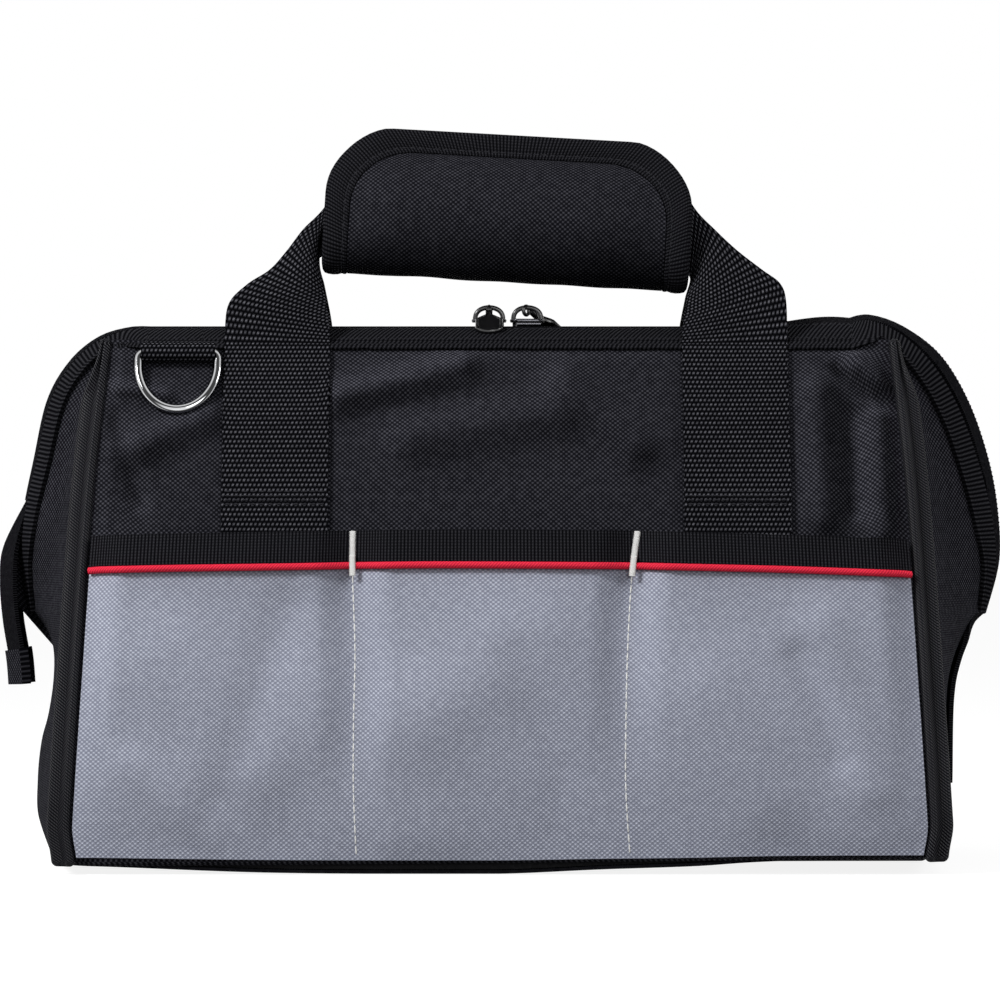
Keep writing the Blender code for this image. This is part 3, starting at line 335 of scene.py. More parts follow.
def linear(colour):
    """An sRGB hex colour as linear red, green and blue."""
    parts = [int(colour[i:i + 2], 16) / 255 for i in (1, 3, 5)]
    return tuple(p / 12.92 if p <= 0.04045 else ((p + 0.055) / 1.055) ** 2.4 for p in parts)


def colour(name, description, shade):
    return FloatVectorProperty(
        name=name, description=description, default=linear(shade), subtype="COLOR", size=3, min=0.0, max=1.0,
    )


def length(name, description, default):
    return FloatProperty(
        name=name, description=description, default=default, min=0.0, unit="LENGTH", subtype="DISTANCE",
        precision=5,
    )


class BagColours(bpy.types.PropertyGroup):
    """Colours of the bag's cloths, threads and metals."""

    black_cloth: colour("Black cloth", "Tops of the threads of the black cloth", "#3b3b41")
    black_shade: colour("Black shade", "Gaps between the threads of black cloth", "#111115")
    black_gap: colour("Black gap", "Gaps of the black webbing and tape", "#060608")
    black_web: colour("Black webbing", "Tops of the threads of the webbing", "#525258")
    black_rib: colour("Black ribs", "Tops of the ribs of the binding and the bands", "#2b2b2f")
    grey_cloth: colour("Grey cloth", "Tops of the threads of the grey cloth", "#adb1be")
    grey_shade: colour("Grey shade", "Gaps between the threads of the grey cloth", "#767987")
    piping: colour("Piping", "Cloth of the pockets' piping", "#ee3049")
    white_thread: colour("White thread", "Thread of the dividers and the bar tacks", "#dededc")
    lining: colour("Lining", "Threads of the lining", "#2c2c31")
    board: colour("Board", "Stiff board of the base", "#2a2a2c")
    foam: colour("Foam", "Foam between the cloth and the lining", "#5a5a5c")
    gunmetal: colour("Gunmetal", "Plated sliders of the zip", "#6b6b70")
    enamel: colour("Enamel", "Enamelled pulls and bails", "#101012")
    chrome: colour("Chrome", "Chromed D-rings", "#d9dadc")


class BagSizes(bpy.types.PropertyGroup):
    """Sizes of the bag's weaves, stitches and soft forms."""

    cloth_across: length("Cloth threads across", "Spacing of the cloth's threads across", 0.00187)
    cloth_along: length("Cloth threads along", "Spacing of the cloth's threads along it", 0.00172)
    web_row: length("Webbing row", "Spacing of the webbing's rows", 0.00186)
    web_dot: length("Webbing thread", "Spacing of the webbing's threads across it", 0.00155)
    tape_rib: length("Tape rib", "Spacing of the binding's ribs", 0.00125)
    band_rib: length("Band rib", "Spacing of the mouth band's ribs", 0.0016)
    tooth_pitch: length("Tooth pitch", "Spacing of the zip's teeth", 0.00168)
    divider_stitch: length("Divider stitch", "Length of a stitch of the dividers", 0.0036)
    seam_stitch: length("Seam stitch", "Length of a stitch of the black seams", 0.0030)
    thread: length("Thread", "Thickness of the sewing thread", 0.00055)
    fold_height: length("Fold height", "Height of the walls' soft folds", 0.0030)
    fold_width: length("Fold width", "Width of the walls' soft folds", 0.010)
    lip_crown: length("Lip crown", "How far the mouth bands crown up", 0.0020)
    pocket_swell: length("Pocket swell", "Height of the pockets' soft swells", 0.0024)
    pad_crown: length("Pad crown", "How far the grip's pads swell", 0.0042)


# Curves and surfaces shared by the pieces

def eased(share):
    share = min(max(share, 0), 1)
    return share * share * (3 - 2 * share)


def along_pairs(pairs, at):
    """The value at a share along the pairs, on a smooth curve that passes through each of them."""
    at = min(max(at, pairs[0][0]), pairs[-1][0])
    ends = [pairs[0], *pairs, pairs[-1]]
    slopes = [(after[1] - before[1]) / (after[0] - before[0]) for before, after in zip(ends, ends[2:])]
    i = sum(at > x for x, _ in pairs[1:-1])
    (x0, y0), (x1, y1) = pairs[i], pairs[i + 1]
    step = x1 - x0
    t = (at - x0) / step
    return (
        (2 * t**3 - 3 * t**2 + 1) * y0
        + (t**3 - 2 * t**2 + t) * step * slopes[i]
        + (3 * t**2 - 2 * t**3) * y1
        + (t**3 - t**2) * step * slopes[i + 1]
    )


def curve_through(points, count):
    """Points evenly spaced along a smooth curve through the given points."""
    fine = []
    steps = 24
    ends = [points[0], *points, points[-1]]
    for p0, p1, p2, p3 in zip(ends, ends[1:], ends[2:], ends[3:]):
        for k in range(steps):
            t = k / steps
            bend = (2 * p0 - 5 * p1 + 4 * p2 - p3) * t**2 + (3 * p1 - p0 - 3 * p2 + p3) * t**3
            fine.append(0.5 * (2 * p1 + (p2 - p0) * t + bend))
    return evenly(fine + [points[-1]], count)


def evenly(points, count):
    """The same line with its points evenly spaced."""
    lengths = [0]
    for a, b in zip(points, points[1:]):
        lengths.append(lengths[-1] + (b - a).length)
    even = []
    k = 0
    for i in range(count + 1):
        want = lengths[-1] * i / count
        while k < len(points) - 2 and lengths[k + 1] < want:
            k += 1
        run = lengths[k + 1] - lengths[k]
        even.append(points[k].lerp(points[k + 1], (want - lengths[k]) / run if run else 0))
    return even


def spaced(low, high, count):
    return [low + (high - low) * i / count for i in range(count + 1)]


def along_line(line, share):
    """The place at a share along evenly spaced points, and the way that the line runs there."""
    steps = len(line) - 1
    at = min(max(share, 0), 1) * steps
    low = min(int(at), steps - 1)
    part = at - low
    before = line[max(low - 1, 0)].lerp(line[low], part)
    after = line[low + 1].lerp(line[min(low + 2, steps)], part)
    return line[low].lerp(line[low + 1], part), after - before


@functools.lru_cache(maxsize=None)
def corner_x(z):
    share = along_pairs(corner_shares, z / seam_height)
    tuck = corner_tuck * eased(1 - z / corner_tuck_height)
    return top_length / 2 + (base_length - top_length) / 2 * share - tuck


@functools.lru_cache(maxsize=None)
def wall_y(z):
    share = along_pairs(wall_shares, z / seam_height)
    return mouth_depth / 2 + (base_depth - mouth_depth) / 2 * share


def fold_lift(x, z, folds, width, height):
    """How far the soft folds lift the cloth at a place."""
    lift = 0
    here = Vector((x, z))
    for x0, z0, x1, z1, wide, high in folds:
        start = Vector((x0 * top_length / 2, z0 * seam_height))
        end = Vector((x1 * top_length / 2, z1 * seam_height))
        run = end - start
        share = (here - start).dot(run) / run.length_squared
        near = start + run * min(max(share, 0), 1)
        gap = (here - near).length / (width * wide)
        lift += height * high * exp(-gap * gap * 2)
    return lift


def wall_relief(x, z, face):
    """The soft unevenness of a wall, which fades out at its seams."""
    sizes = bpy.context.scene.bag_sizes
    height = sizes.fold_height
    width = sizes.fold_width
    folds = front_fold_shares if face < 0 else back_fold_shares
    fade = eased((corner_x(z) - bead_radius - abs(x)) / (width / 2))
    fade *= eased((seam_height - clearance - z) / (width / 2)) * eased(z / (width * 2))
    wave = noise.noise(Vector((x / wall_wave_width, z / wall_wave_height, face * 3.7))) * 0.5 + 0.5
    return (fold_lift(x, z, folds, width, height) + height * 0.35 * wave) * fade


def toe_lift(x, y, z):
    """How far the edge of the base, which sags in its middle, lifts the cloth at a place."""
    share = max(along_pairs(toe_shares, 2 * x / base_length), 0)
    lift = toe_height * share * eased(2 * abs(y) / base_depth)
    in_rim = min(max(z / base_lip, 0), 1)
    return lift * (1 - (1 - toe_wall_share) * in_rim) * (1 - eased((z - base_lip) / toe_fade))


def wall_form(x, z, face):
    across = x / corner_x(z)
    bulge = wall_bulge * sin(pi * min(max(z / seam_height, 0), 1)) * (1 - across**2)
    return Vector((x, face * (wall_y(z) + bulge), z + toe_lift(x, wall_y(z), z)))


def wall_normal(x, z, face):
    small = seam_height / 1000
    z = min(max(z, small), seam_height - small)
    to_side = wall_form(x + small, z, face) - wall_form(x - small, z, face)
    up = wall_form(x, z + small, face) - wall_form(x, z - small, face)
    normal = up.cross(to_side).normalized()
    return -normal if normal.y * face < 0 else normal


def wall_point(x, z, face, out):
    """A point so far out from the soft outer face of the front or back wall."""
    return wall_form(x, z, face) + wall_normal(x, z, face) * (out + wall_relief(x, z, face))


def divider_x(word, z):
    """Where a sewn divider line runs at a height."""
    shares = left_divider_shares if word == "left" else right_divider_shares
    straight = divider_left if word == "left" else divider_right
    return straight + divider_drift * along_pairs(shares, z / pocket_height)


def pocket_lift(x, z):
    """How far the pocket stands off the wall: sewn down at its dividers, sides and base."""
    sizes = bpy.context.scene.bag_sizes
    gap = pocket_mouth_gap * along_pairs(pocket_gap_shares, z / pocket_height)
    edge = corner_x(z) - bead_radius
    near = min(abs(x - divider_x("left", z)), abs(x - divider_x("right", z)), edge - abs(x))
    swell = fold_lift(x, z, pocket_fold_shares, sizes.fold_width, sizes.pocket_swell)
    swell += sizes.pocket_swell * noise.noise(Vector((x / pocket_wave_width, z / pocket_wave_height, 8.3)))
    swell *= eased(z / pocket_sew_width) * eased((pocket_height - z) / pocket_sew_width)
    loose = gap * (1 - clearance / pocket_mouth_gap) + max(swell, -gap)
    return clearance + loose * eased(near / pocket_sew_width)


def pocket_point(x, z, face, out):
    """A point so far out from the pocket's inner face, whose mouth sags a little toward its ends."""
    sag = left_mouth_sag if x < 0 else right_mouth_sag
    z -= sag * (2 * x / top_length) ** 2 * z / pocket_height
    return wall_point(x, z, face, out) + Vector((0, face * pocket_lift(x, z), 0))


def ear_path(side):
    shares = right_ear_shares if side > 0 else left_ear_shares
    return [Vector((side * (lip_half_length + ear_length * x), 0, ridge_height * z)) for x, z in shares]


ear_lines = {side: curve_through(ear_path(side), 40) for side in sides.values()}


def ridge_lift(x):
    """How far the closed zip swells up beside the right strap."""
    return ridge_swell * exp(-((x - ridge_swell_x) / ridge_swell_width) ** 2)


def ear_section(side, share):
    """Where the zip, and the seam of its band, lie at a share of the way down an end."""
    zip_point, run = along_line(ear_lines[side], share)
    run.normalize()
    inward = Vector((run.z, 0, -run.x)) * side
    inward = Vector((0, 0, -1)).lerp(inward, eased(share / ear_ease_share)).normalized()
    settle = eased(share / ear_settle_share)
    taper = along_pairs(ear_taper_shares, share)
    width = (mouth_depth / 2 + (ear_half_depth - mouth_depth / 2) * settle) * taper
    depth = (ridge_rise + (ear_fold_depths[side] - ridge_rise) * settle) * taper
    lift = ridge_lift(zip_point.x)
    return zip_point - inward * lift, inward, width, depth + lift


def lip_section(x):
    lift = ridge_lift(x)
    return Vector((x, 0, ridge_height + lift)), Vector((0, 0, -1)), mouth_depth / 2, ridge_rise + lift


def seam_point(section, face):
    zip_point, inward, width, depth = section
    return zip_point + inward * depth + Vector((0, face * width, 0))


def corner_start(side, face, z):
    """Where the end cloth starts, beside the corner's beads."""
    fade = eased((seam_height - z) / (seam_height - second_bead_top))
    x = corner_x(z) + bead_step_out * fade + bead_radius * end_tuck_share
    y = wall_y(z) - bead_step_back * fade - bead_radius - clearance * 2
    return Vector((side * x, face * y, z + toe_lift(side * x, y, z)))


def end_point(side, z, y, out=0.0):
    """A point on the end cloth below the zip's end, or out from it."""
    ear_end = ear_lines[side][-1]
    end_base = base_length / 2 + end_bulge
    rise = along_pairs(end_shares[side], z / ear_end.z)
    middle_x = end_base + (abs(ear_end.x) - end_base) * rise
    start = corner_start(side, -1 if y < 0 else 1, z)
    c = 1 - min(abs(y / start.y), 1)
    round_share = sin(pi / 2 * c) * (1 - rise) + c * rise
    x = start.x + side * (middle_x - abs(start.x)) * round_share + side * out
    return Vector((x, y, z + toe_lift(x, y, z)))


def grip_place(x, y, z):
    """A point of the level grip, put where the grip sits, tipped a little to the right."""
    dx = x - grip_middle
    dz = z - grip_bottom
    return Vector((
        grip_middle + dx * cos(grip_tilt) + dz * sin(grip_tilt),
        y,
        grip_bottom + dz * cos(grip_tilt) - dx * sin(grip_tilt),
    ))


grip_line = curve_through([Vector((0, grip_half_depth * y, grip_height * z)) for y, z in grip_shares], 48)
grip_arc = sum((b - a).length for a, b in zip(grip_line, grip_line[1:]))


def grip_point(x, arc, face, out=0.0):
    """A point on the grip's skin: so far round its section from the middle of its fold, and out from it."""
    share = abs(arc) / grip_arc
    point, run = along_line(grip_line, share)
    in_fold = max(1 - share * (len(grip_line) - 1), 0)
    run = run.lerp(Vector((0, run.length, 0)), in_fold)
    point = point + Vector((0, run.z, -run.y)).normalized() * out
    way = face if arc >= 0 else -face
    return grip_place(x, way * point.y, grip_bottom + point.z)


# Meshes

def way_out(x=0.0, y=0.0, z=0.0):
    """Says that a skin faces the same way all over."""
    return lambda place: Vector((x, y, z))


def away_from(rings):
    """Says that a tube faces away from the middles of its rings."""
    middles = [sum(ring, Vector()) / len(ring) for ring in rings]
    return lambda place: place - min(middles, key=lambda m: (m - place).length_squared)


def placed(name, data):
    """A new object in the scene."""
    obj = bpy.data.objects.new(name, data)
    bpy.context.scene.collection.objects.link(obj)
    return obj


def grid_lengths(rows, closed):
    """The cloth map of a grid: across each row from its middle, and along the rows, in metres."""
    count = len(rows[0])
    middle = 0 if closed else count // 2
    along = [0]
    for a, b in zip(rows, rows[1:]):
        along.append(along[-1] + sum((q - p).length for p, q in zip(a, b)) / count)
    across = []
    for row in rows:
        line = row + row[:1] if closed else row
        run = [0]
        for a, b in zip(line, line[1:]):
            run.append(run[-1] + (b - a).length)
        across.append([r - run[middle] for r in run])
    return across, along


def mesh_piece(name, points, quads, maps, look):
    """A piece from its points and faces, with the cloth map of each corner of each face."""
    mesh = bpy.data.meshes.new(name)
    mesh.from_pydata(points, [], quads)
    layer = mesh.uv_layers.new(name="cloth")
    layer.data.foreach_set("uv", [n for corners in maps for uv in corners for n in uv])
    mesh.shade_smooth()
    mesh.set_sharp_from_angle(angle=crease_angle)
    if look:
        mesh.materials.append(finish(look))
    mesh.validate()
    return placed(name, mesh)


def store_painted_shade(obj, painted_shades):
    """Stores how much lighter or darker the colour of each point is painted, as painted light and shade."""
    obj.data.attributes.new("painted_shade", "FLOAT", "POINT").data.foreach_set("value", painted_shades)


def paint_relief_shading(obj, lift, strength):
    """Paints light on the colour where the relief leans to the upper left, and painted shade where it leans
    away, as a lamp there would light it.
    """
    step = seam_height / 100
    painted_shades = []
    for vertex in obj.data.vertices:
        x, _, z = vertex.co
        rise = lift(x + step, z - step) - lift(x - step, z + step)
        painted_shades.append(min(max(strength * rise / step, -0.45), 0.9))
    store_painted_shade(obj, painted_shades)


def facing(points, quads, outward):
    total = 0
    for quad in quads:
        a, b, c = points[quad[0]], points[quad[1]], points[quad[2]]
        total += (b - a).cross(c - a).dot(outward(a))
    return total


def skin(name, rows, look, outward, caps=True):
    """A tube through rings of points, with caps at its ends."""
    count = len(rows[0])
    points = [p for row in rows for p in row]
    across, along = grid_lengths(rows, True)
    quads = []
    maps = []
    for r in range(len(rows) - 1):
        for c in range(count):
            d = (c + 1) % count
            quads.append((r * count + c, r * count + d, (r + 1) * count + d, (r + 1) * count + c))
            maps.append([
                (across[r][c], along[r]), (across[r][c + 1], along[r]),
                (across[r + 1][c + 1], along[r + 1]), (across[r + 1][c], along[r + 1]),
            ])
    if caps:
        for r in (0, len(rows) - 1):
            ring = list(range(r * count, (r + 1) * count))
            order = list(reversed(ring)) if r == 0 else ring
            quads.append(tuple(order))
            maps.append([(across[r][i - r * count], along[r]) for i in order])
    if facing(points, quads[:count * (len(rows) - 1)], outward) < 0:
        quads = [tuple(reversed(q)) for q in quads]
        maps = [list(reversed(m)) for m in maps]
    return mesh_piece(name, points, quads, maps, look)


def two_skins(name, outer, inner, look, outward):
    """A closed sheet between two grids of points of the same size."""
    count = len(outer[0])
    back = len(outer) * count
    points = [p for row in outer + inner for p in row]
    across, along = grid_lengths(outer, False)
    spot = [(x, y) for row, y in zip(across, along) for x in row]
    starts = [a for a in range(back - count) if (a + 1) % count]
    quads = [(a, a + 1, a + count + 1, a + count) for a in starts]
    if facing(points, quads, outward) < 0:
        quads = [tuple(reversed(q)) for q in quads]
    flipped = quads[0][0] != 0
    quads += [tuple(i + back for i in reversed(q)) for q in quads]
    rim = list(range(count)) + list(range(count * 2 - 1, back, count))
    rim += list(range(back - 2, back - count - 1, -1)) + list(range(back - count * 2, 0, -count))
    for a, b in zip(rim, rim[1:] + rim[:1]):
        edge = (b, a, a + back, b + back)
        quads.append(tuple(reversed(edge)) if flipped else edge)
    maps = [[spot[i % back] for i in q] for q in quads]
    return mesh_piece(name, points, quads, maps, look)


def grid_normals(rows, outward):
    """The way out of a grid at each of its points."""
    found = []
    total = 0
    for r, row in enumerate(rows):
        line = []
        above = rows[min(r + 1, len(rows) - 1)]
        below = rows[max(r - 1, 0)]
        for c, point in enumerate(row):
            over = row[min(c + 1, len(row) - 1)] - row[max(c - 1, 0)]
            normal = over.cross(above[c] - below[c]).normalized()
            total += normal.dot(outward(point))
            line.append(normal)
        found.append(line)
    if total < 0:
        found = [[-n for n in line] for line in found]
    return found


def sheet(name, rows, thickness, look, outward):
    """A sheet of even thickness whose outer face is the grid of points."""
    normals = grid_normals(rows, outward)
    inner = [[p - n * thickness for p, n in zip(row, line)] for row, line in zip(rows, normals)]
    return two_skins(name, rows, inner, look, outward)


def rod(name, path, radius, look, hint, count, closed=False):
    """A round bar along a path; hint is a way that the path never takes."""
    turns = spaced(0, 2 * pi, count)[:-1]
    last = len(path) - 1
    rings = []
    for i, place in enumerate(path):
        before = path[i - 1] if closed or i > 0 else place
        after = path[(i + 1) % (last + 1)] if closed or i < last else place
        run = (after - before).normalized()
        up = (hint - run * hint.dot(run)).normalized() * radius
        side = run.cross(up)
        rings.append([place + up * cos(turn) + side * sin(turn) for turn in turns])
    if closed:
        rings.append([p.copy() for p in rings[0]])
    obj = skin(name, rings, look, away_from(rings), caps=not closed)
    if closed:
        join = obj.modifiers.new("weld", "WELD")
        join.merge_threshold = radius / 1000
        bake(obj)
    return obj


def bake(obj):
    """Turns what the object's modifiers make into its plain mesh."""
    bpy.context.view_layer.update()
    evaluated = obj.evaluated_get(bpy.context.evaluated_depsgraph_get())
    mesh = bpy.data.meshes.new_from_object(evaluated)
    obj.modifiers.clear()
    old = obj.data
    obj.data = mesh
    bpy.data.meshes.remove(old)
    mesh.name = obj.name


def joined(name, pieces):
    """One object out of several."""
    points = []
    quads = []
    maps = []
    slots = []
    materials = []
    for piece in pieces:
        mesh = piece.data
        start = len(points)
        points += [v.co.copy() for v in mesh.vertices]
        layer = mesh.uv_layers["cloth"].data
        material = mesh.materials[0]
        if material not in materials:
            materials.append(material)
        for face in mesh.polygons:
            quads.append(tuple(start + i for i in face.vertices))
            maps.append([tuple(layer[i].uv) for i in face.loop_indices])
            slots.append(materials.index(material))
    obj = mesh_piece(name, points, quads, maps, None)
    for material in materials:
        obj.data.materials.append(material)
    obj.data.polygons.foreach_set("material_index", slots)
    for piece in pieces:
        bpy.data.objects.remove(piece, do_unlink=True)
    return obj


def dress(obj, slot, *nodes, body="bag"):
    """Attaches a piece to the body it rides on and hides the solids it stands for; its finish slot is not
    used.
    """
    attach(obj, body)
    if nodes:
        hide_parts(*nodes)


# Nodes

def add(owner, kind, inputs=None, **settings):
    """Adds a node to a material or a tree, with its settings, values and links, and gives its outputs."""
    tree = getattr(owner, "node_tree", owner)
    made = tree.nodes.new(kind)
    for key, value in settings.items():
        setattr(made, key, value)
    for key, value in (inputs or {}).items():
        if isinstance(value, bpy.types.NodeSocket):
            tree.links.new(value, made.inputs[key])
        else:
            made.inputs[key].default_value = value
    return made.outputs


# Repeats along a line

def repeat_tree(name, block):
    """Nodes that set a stitch or a tooth at even steps along a line."""
    tree = bpy.data.node_groups.get(name)
    if tree:
        return tree
    tree = bpy.data.node_groups.new(name, "GeometryNodeTree")
    tree.is_modifier = True
    numbers = [(label, "Float") for label in ("Spacing", "Length", "Width", "Height")]
    for label, kind in [("Line", "Geometry"), *numbers, ("Finish", "Material")]:
        tree.interface.new_socket(label, in_out="INPUT", socket_type="NodeSocket" + kind)
    tree.interface.new_socket("Pieces", in_out="OUTPUT", socket_type="NodeSocketGeometry")
    given = add(tree, "NodeGroupInput")
    line = add(tree, "GeometryNodeMeshToCurve", {0: given["Line"]})[0]
    even = add(tree, "GeometryNodeResampleCurve", {0: line, "Length": given["Spacing"]}, mode="LENGTH")[0]
    up = add(tree, "GeometryNodeInputNamedAttribute", {0: "up"}, data_type="FLOAT_VECTOR")[0]
    run = add(tree, "GeometryNodeInputTangent")[0]
    along = add(tree, "FunctionNodeAlignRotationToVector", {"Vector": run}, axis="X")[0]
    ways = {"Rotation": along, "Vector": up}
    turned = add(tree, "FunctionNodeAlignRotationToVector", ways, axis="Z", pivot_axis="X")[0]
    if block:
        cube = add(tree, "GeometryNodeMeshCube", {"Size": (1, 1, 1)})[0]
        shape = add(tree, "GeometryNodeSubdivisionSurface", {0: cube, "Level": 1})[0]
    else:
        ball = add(tree, "GeometryNodeMeshUVSphere", {"Segments": 8, "Rings": 5, "Radius": 0.5})[0]
        shape = add(tree, "GeometryNodeTransform", {0: ball, "Rotation": (0, pi / 2, 0)})[0]
    size = add(tree, "ShaderNodeCombineXYZ", {0: given["Length"], 1: given["Width"], 2: given["Height"]})[0]
    inputs = {"Points": even, "Instance": shape, "Rotation": turned, "Scale": size}
    copies = add(tree, "GeometryNodeInstanceOnPoints", inputs)[0]
    real = add(tree, "GeometryNodeRealizeInstances", {0: copies})[0]
    smooth = add(tree, "GeometryNodeSetShadeSmooth", {0: real})[0]
    finished = add(tree, "GeometryNodeSetMaterial", {0: smooth, "Material": given["Finish"]})[0]
    add(tree, "NodeGroupOutput", {0: finished})
    return tree


def repeated(name, lines, spacing, length, width, height, look, block=False):
    """Stitches or teeth along lines of (point, way up) pairs, as one plain mesh."""
    points = []
    ups = []
    edges = []
    for line in lines:
        start = len(points)
        for point, up in line:
            points.append(point)
            ups += list(up)
        edges += [(start + i, start + i + 1) for i in range(len(line) - 1)]
    mesh = bpy.data.meshes.new(name)
    mesh.from_pydata(points, edges, [])
    mesh.attributes.new("up", "FLOAT_VECTOR", "POINT").data.foreach_set("vector", ups)
    obj = placed(name, mesh)
    tree = repeat_tree("bag_teeth" if block else "bag_stitches", block)
    nodes = obj.modifiers.new("repeat", "NODES")
    nodes.node_group = tree
    values = {"Spacing": spacing, "Length": length, "Width": width, "Height": height, "Finish": finish(look)}
    for item in tree.interface.items_tree:
        if item.in_out == "INPUT" and item.name in values:
            nodes[item.identifier] = values[item.name]
    bake(obj)
    if not obj.data.uv_layers.get("cloth"):
        obj.data.uv_layers.new(name="cloth")
    return obj


def seam_stitches(name, lines, wide=1.0, high=0.7):
    """Black stitches along lines, so many threads wide and high."""
    sizes = bpy.context.scene.bag_sizes
    stitch, thread = sizes.seam_stitch, sizes.thread
    return repeated(name, lines, stitch, stitch * 0.8, thread * wide, thread * high, "black_thread")


# Materials

def new_finish(name, **levels):
    """A material with its plain shader levels set, and its shader."""
    mat = bpy.data.materials.new(name)
    mat.use_nodes = True
    shader = mat.node_tree.nodes["Principled BSDF"]
    for key, value in levels.items():
        shader.inputs[key.replace("_", " ")].default_value = value
    return mat, shader


def surface(name, shape, dark, light, depth, variation=0.12, shine=0.1, roughness=0.8, ior=1.5):
    """A finish shaded from its gaps to its tops, which alone shine, with broad uneven patches, with the light
    and shade painted on its points, and raised.
    """
    mat, shader = new_finish(name, Roughness=roughness, IOR=ior)
    height = shape(mat)
    place = add(mat, "ShaderNodeTexCoord")["Object"]
    broad = add(mat, "ShaderNodeTexNoise", {"Vector": place, "Scale": patches_per_metre, "Detail": 3})[0]
    patch = add(mat, "ShaderNodeMapRange", {0: broad, 3: 1 - variation, 4: 1 + variation})[0]
    # Painted light and shade stored on the points: lighter where folds face the upper left, darker where they
    # face away, and darker down the grip's underside
    painted_shade = add(mat, "ShaderNodeAttribute", attribute_name="painted_shade")["Fac"]
    patch = add(mat, "ShaderNodeMath", {0: patch, 1: painted_shade}, operation="ADD")[0]
    mixed = add(mat, "ShaderNodeMix", {0: height, 6: (*dark, 1), 7: (*light, 1)}, data_type="RGBA")[2]
    shown = add(mat, "ShaderNodeVectorMath", {0: mixed, 3: patch}, operation="SCALE")[0]
    bump = add(mat, "ShaderNodeBump", {"Distance": depth, "Height": height})[0]
    gloss = add(mat, "ShaderNodeMapRange", {0: height, 1: 0.5, 2: 1, 4: shine})[0]
    for key, value in (("Specular IOR Level", gloss), ("Base Color", shown), ("Normal", bump)):
        mat.node_tree.links.new(value, shader.inputs[key])
    return mat


def cloth_map(mat):
    place = add(mat, "ShaderNodeUVMap", uv_map="cloth")[0]
    return add(mat, "ShaderNodeSeparateXYZ", {0: place})


def slub(mat, scale):
    """The uneven thickness of threads, on the cloth's map."""
    place = add(mat, "ShaderNodeUVMap", uv_map="cloth")[0]
    return add(mat, "ShaderNodeTexNoise", {"Vector": place, "Scale": scale, "Detail": 1})[0]


def grain(mat, kind, inputs, low=0, high=1, curve="LINEAR"):
    """A height from a texture over the object, stretched between two of its levels."""
    place = add(mat, "ShaderNodeTexCoord")["Object"]
    level = add(mat, kind, {"Vector": place, **inputs})[0]
    return add(mat, "ShaderNodeMapRange", {0: level, 1: low, 2: high}, interpolation_type=curve)[0]


def wave(mat, value, spacing):
    """A sine along a value in metres, once in each spacing."""
    turned = add(mat, "ShaderNodeMath", {0: value, 1: 2 * pi / spacing}, operation="MULTIPLY")[0]
    return add(mat, "ShaderNodeMath", {0: turned}, operation="SINE")[0]


def plain_weave(mat, across, along, low=-0.1, high=0.95):
    """Thread tops of a plain weave, staggered like a chessboard, from 0 to 1."""
    place = cloth_map(mat)
    waves = {0: wave(mat, place[0], across), 1: wave(mat, place[1], along)}
    tops = add(mat, "ShaderNodeMath", waves, operation="MULTIPLY")[0]
    thick = {0: slub(mat, 0.6 / across), 1: 0.7, 2: -0.35}
    uneven = add(mat, "ShaderNodeMath", thick, operation="MULTIPLY_ADD")[0]
    varied = add(mat, "ShaderNodeMath", {0: tops, 1: uneven}, operation="ADD")[0]
    return add(mat, "ShaderNodeMapRange", {0: varied, 1: low, 2: high}, interpolation_type="SMOOTHSTEP")[0]


def ribs(mat, spacing, slant, dots, depth):
    """Rounded ribs across a tape, leaning by slant, each broken into small threads, from 0 to 1."""
    place = cloth_map(mat)
    run = add(mat, "ShaderNodeMath", {0: place[0], 1: slant, 2: place[1]}, operation="MULTIPLY_ADD")[0]
    swell = {0: wave(mat, run, spacing), 1: 0.5, 2: 0.5}
    rib = add(mat, "ShaderNodeMath", swell, operation="MULTIPLY_ADD")[0]
    threads = {0: wave(mat, place[0], dots), 1: depth / 2, 2: 1 - depth / 2}
    fine = add(mat, "ShaderNodeMath", threads, operation="MULTIPLY_ADD")[0]
    return add(mat, "ShaderNodeMath", {0: rib, 1: fine}, operation="MULTIPLY")[0]


def webbing_rows(mat, spacing, dots):
    """Rows of leaning thread dots, shifted from row to row, from 0 to 1."""
    place = cloth_map(mat)
    rows = add(mat, "ShaderNodeMath", {0: place[1], 1: 1 / spacing}, operation="MULTIPLY")[0]
    number = add(mat, "ShaderNodeMath", {0: rows}, operation="FLOOR")[0]
    inside = add(mat, "ShaderNodeMath", {0: rows}, operation="FRACT")[0]
    arch = add(mat, "ShaderNodeMath", {0: inside, 1: pi}, operation="MULTIPLY")[0]
    round_row = add(mat, "ShaderNodeMath", {0: arch}, operation="SINE")[0]
    row = add(mat, "ShaderNodeMath", {0: round_row, 1: 3.0}, operation="POWER")[0]
    shift = {0: number, 1: dots * 0.42, 2: place[0]}
    shifted = add(mat, "ShaderNodeMath", shift, operation="MULTIPLY_ADD")[0]
    lean = {0: inside, 1: dots * -0.3, 2: shifted}
    leaning = add(mat, "ShaderNodeMath", lean, operation="MULTIPLY_ADD")[0]
    tops = {0: wave(mat, leaning, dots), 1: -0.75, 2: 0.6}
    dot = add(mat, "ShaderNodeMapRange", tops, interpolation_type="SMOOTHSTEP")[0]
    thread = add(mat, "ShaderNodeMath", {0: dot, 1: row}, operation="MULTIPLY")[0]
    thick = {0: slub(mat, 0.8 / dots), 1: 0.3, 2: 0.7, 3: 0.55, 4: 1.1}
    uneven = add(mat, "ShaderNodeMapRange", thick)[0]
    return add(mat, "ShaderNodeMath", {0: thread, 1: uneven}, operation="MULTIPLY")[0]


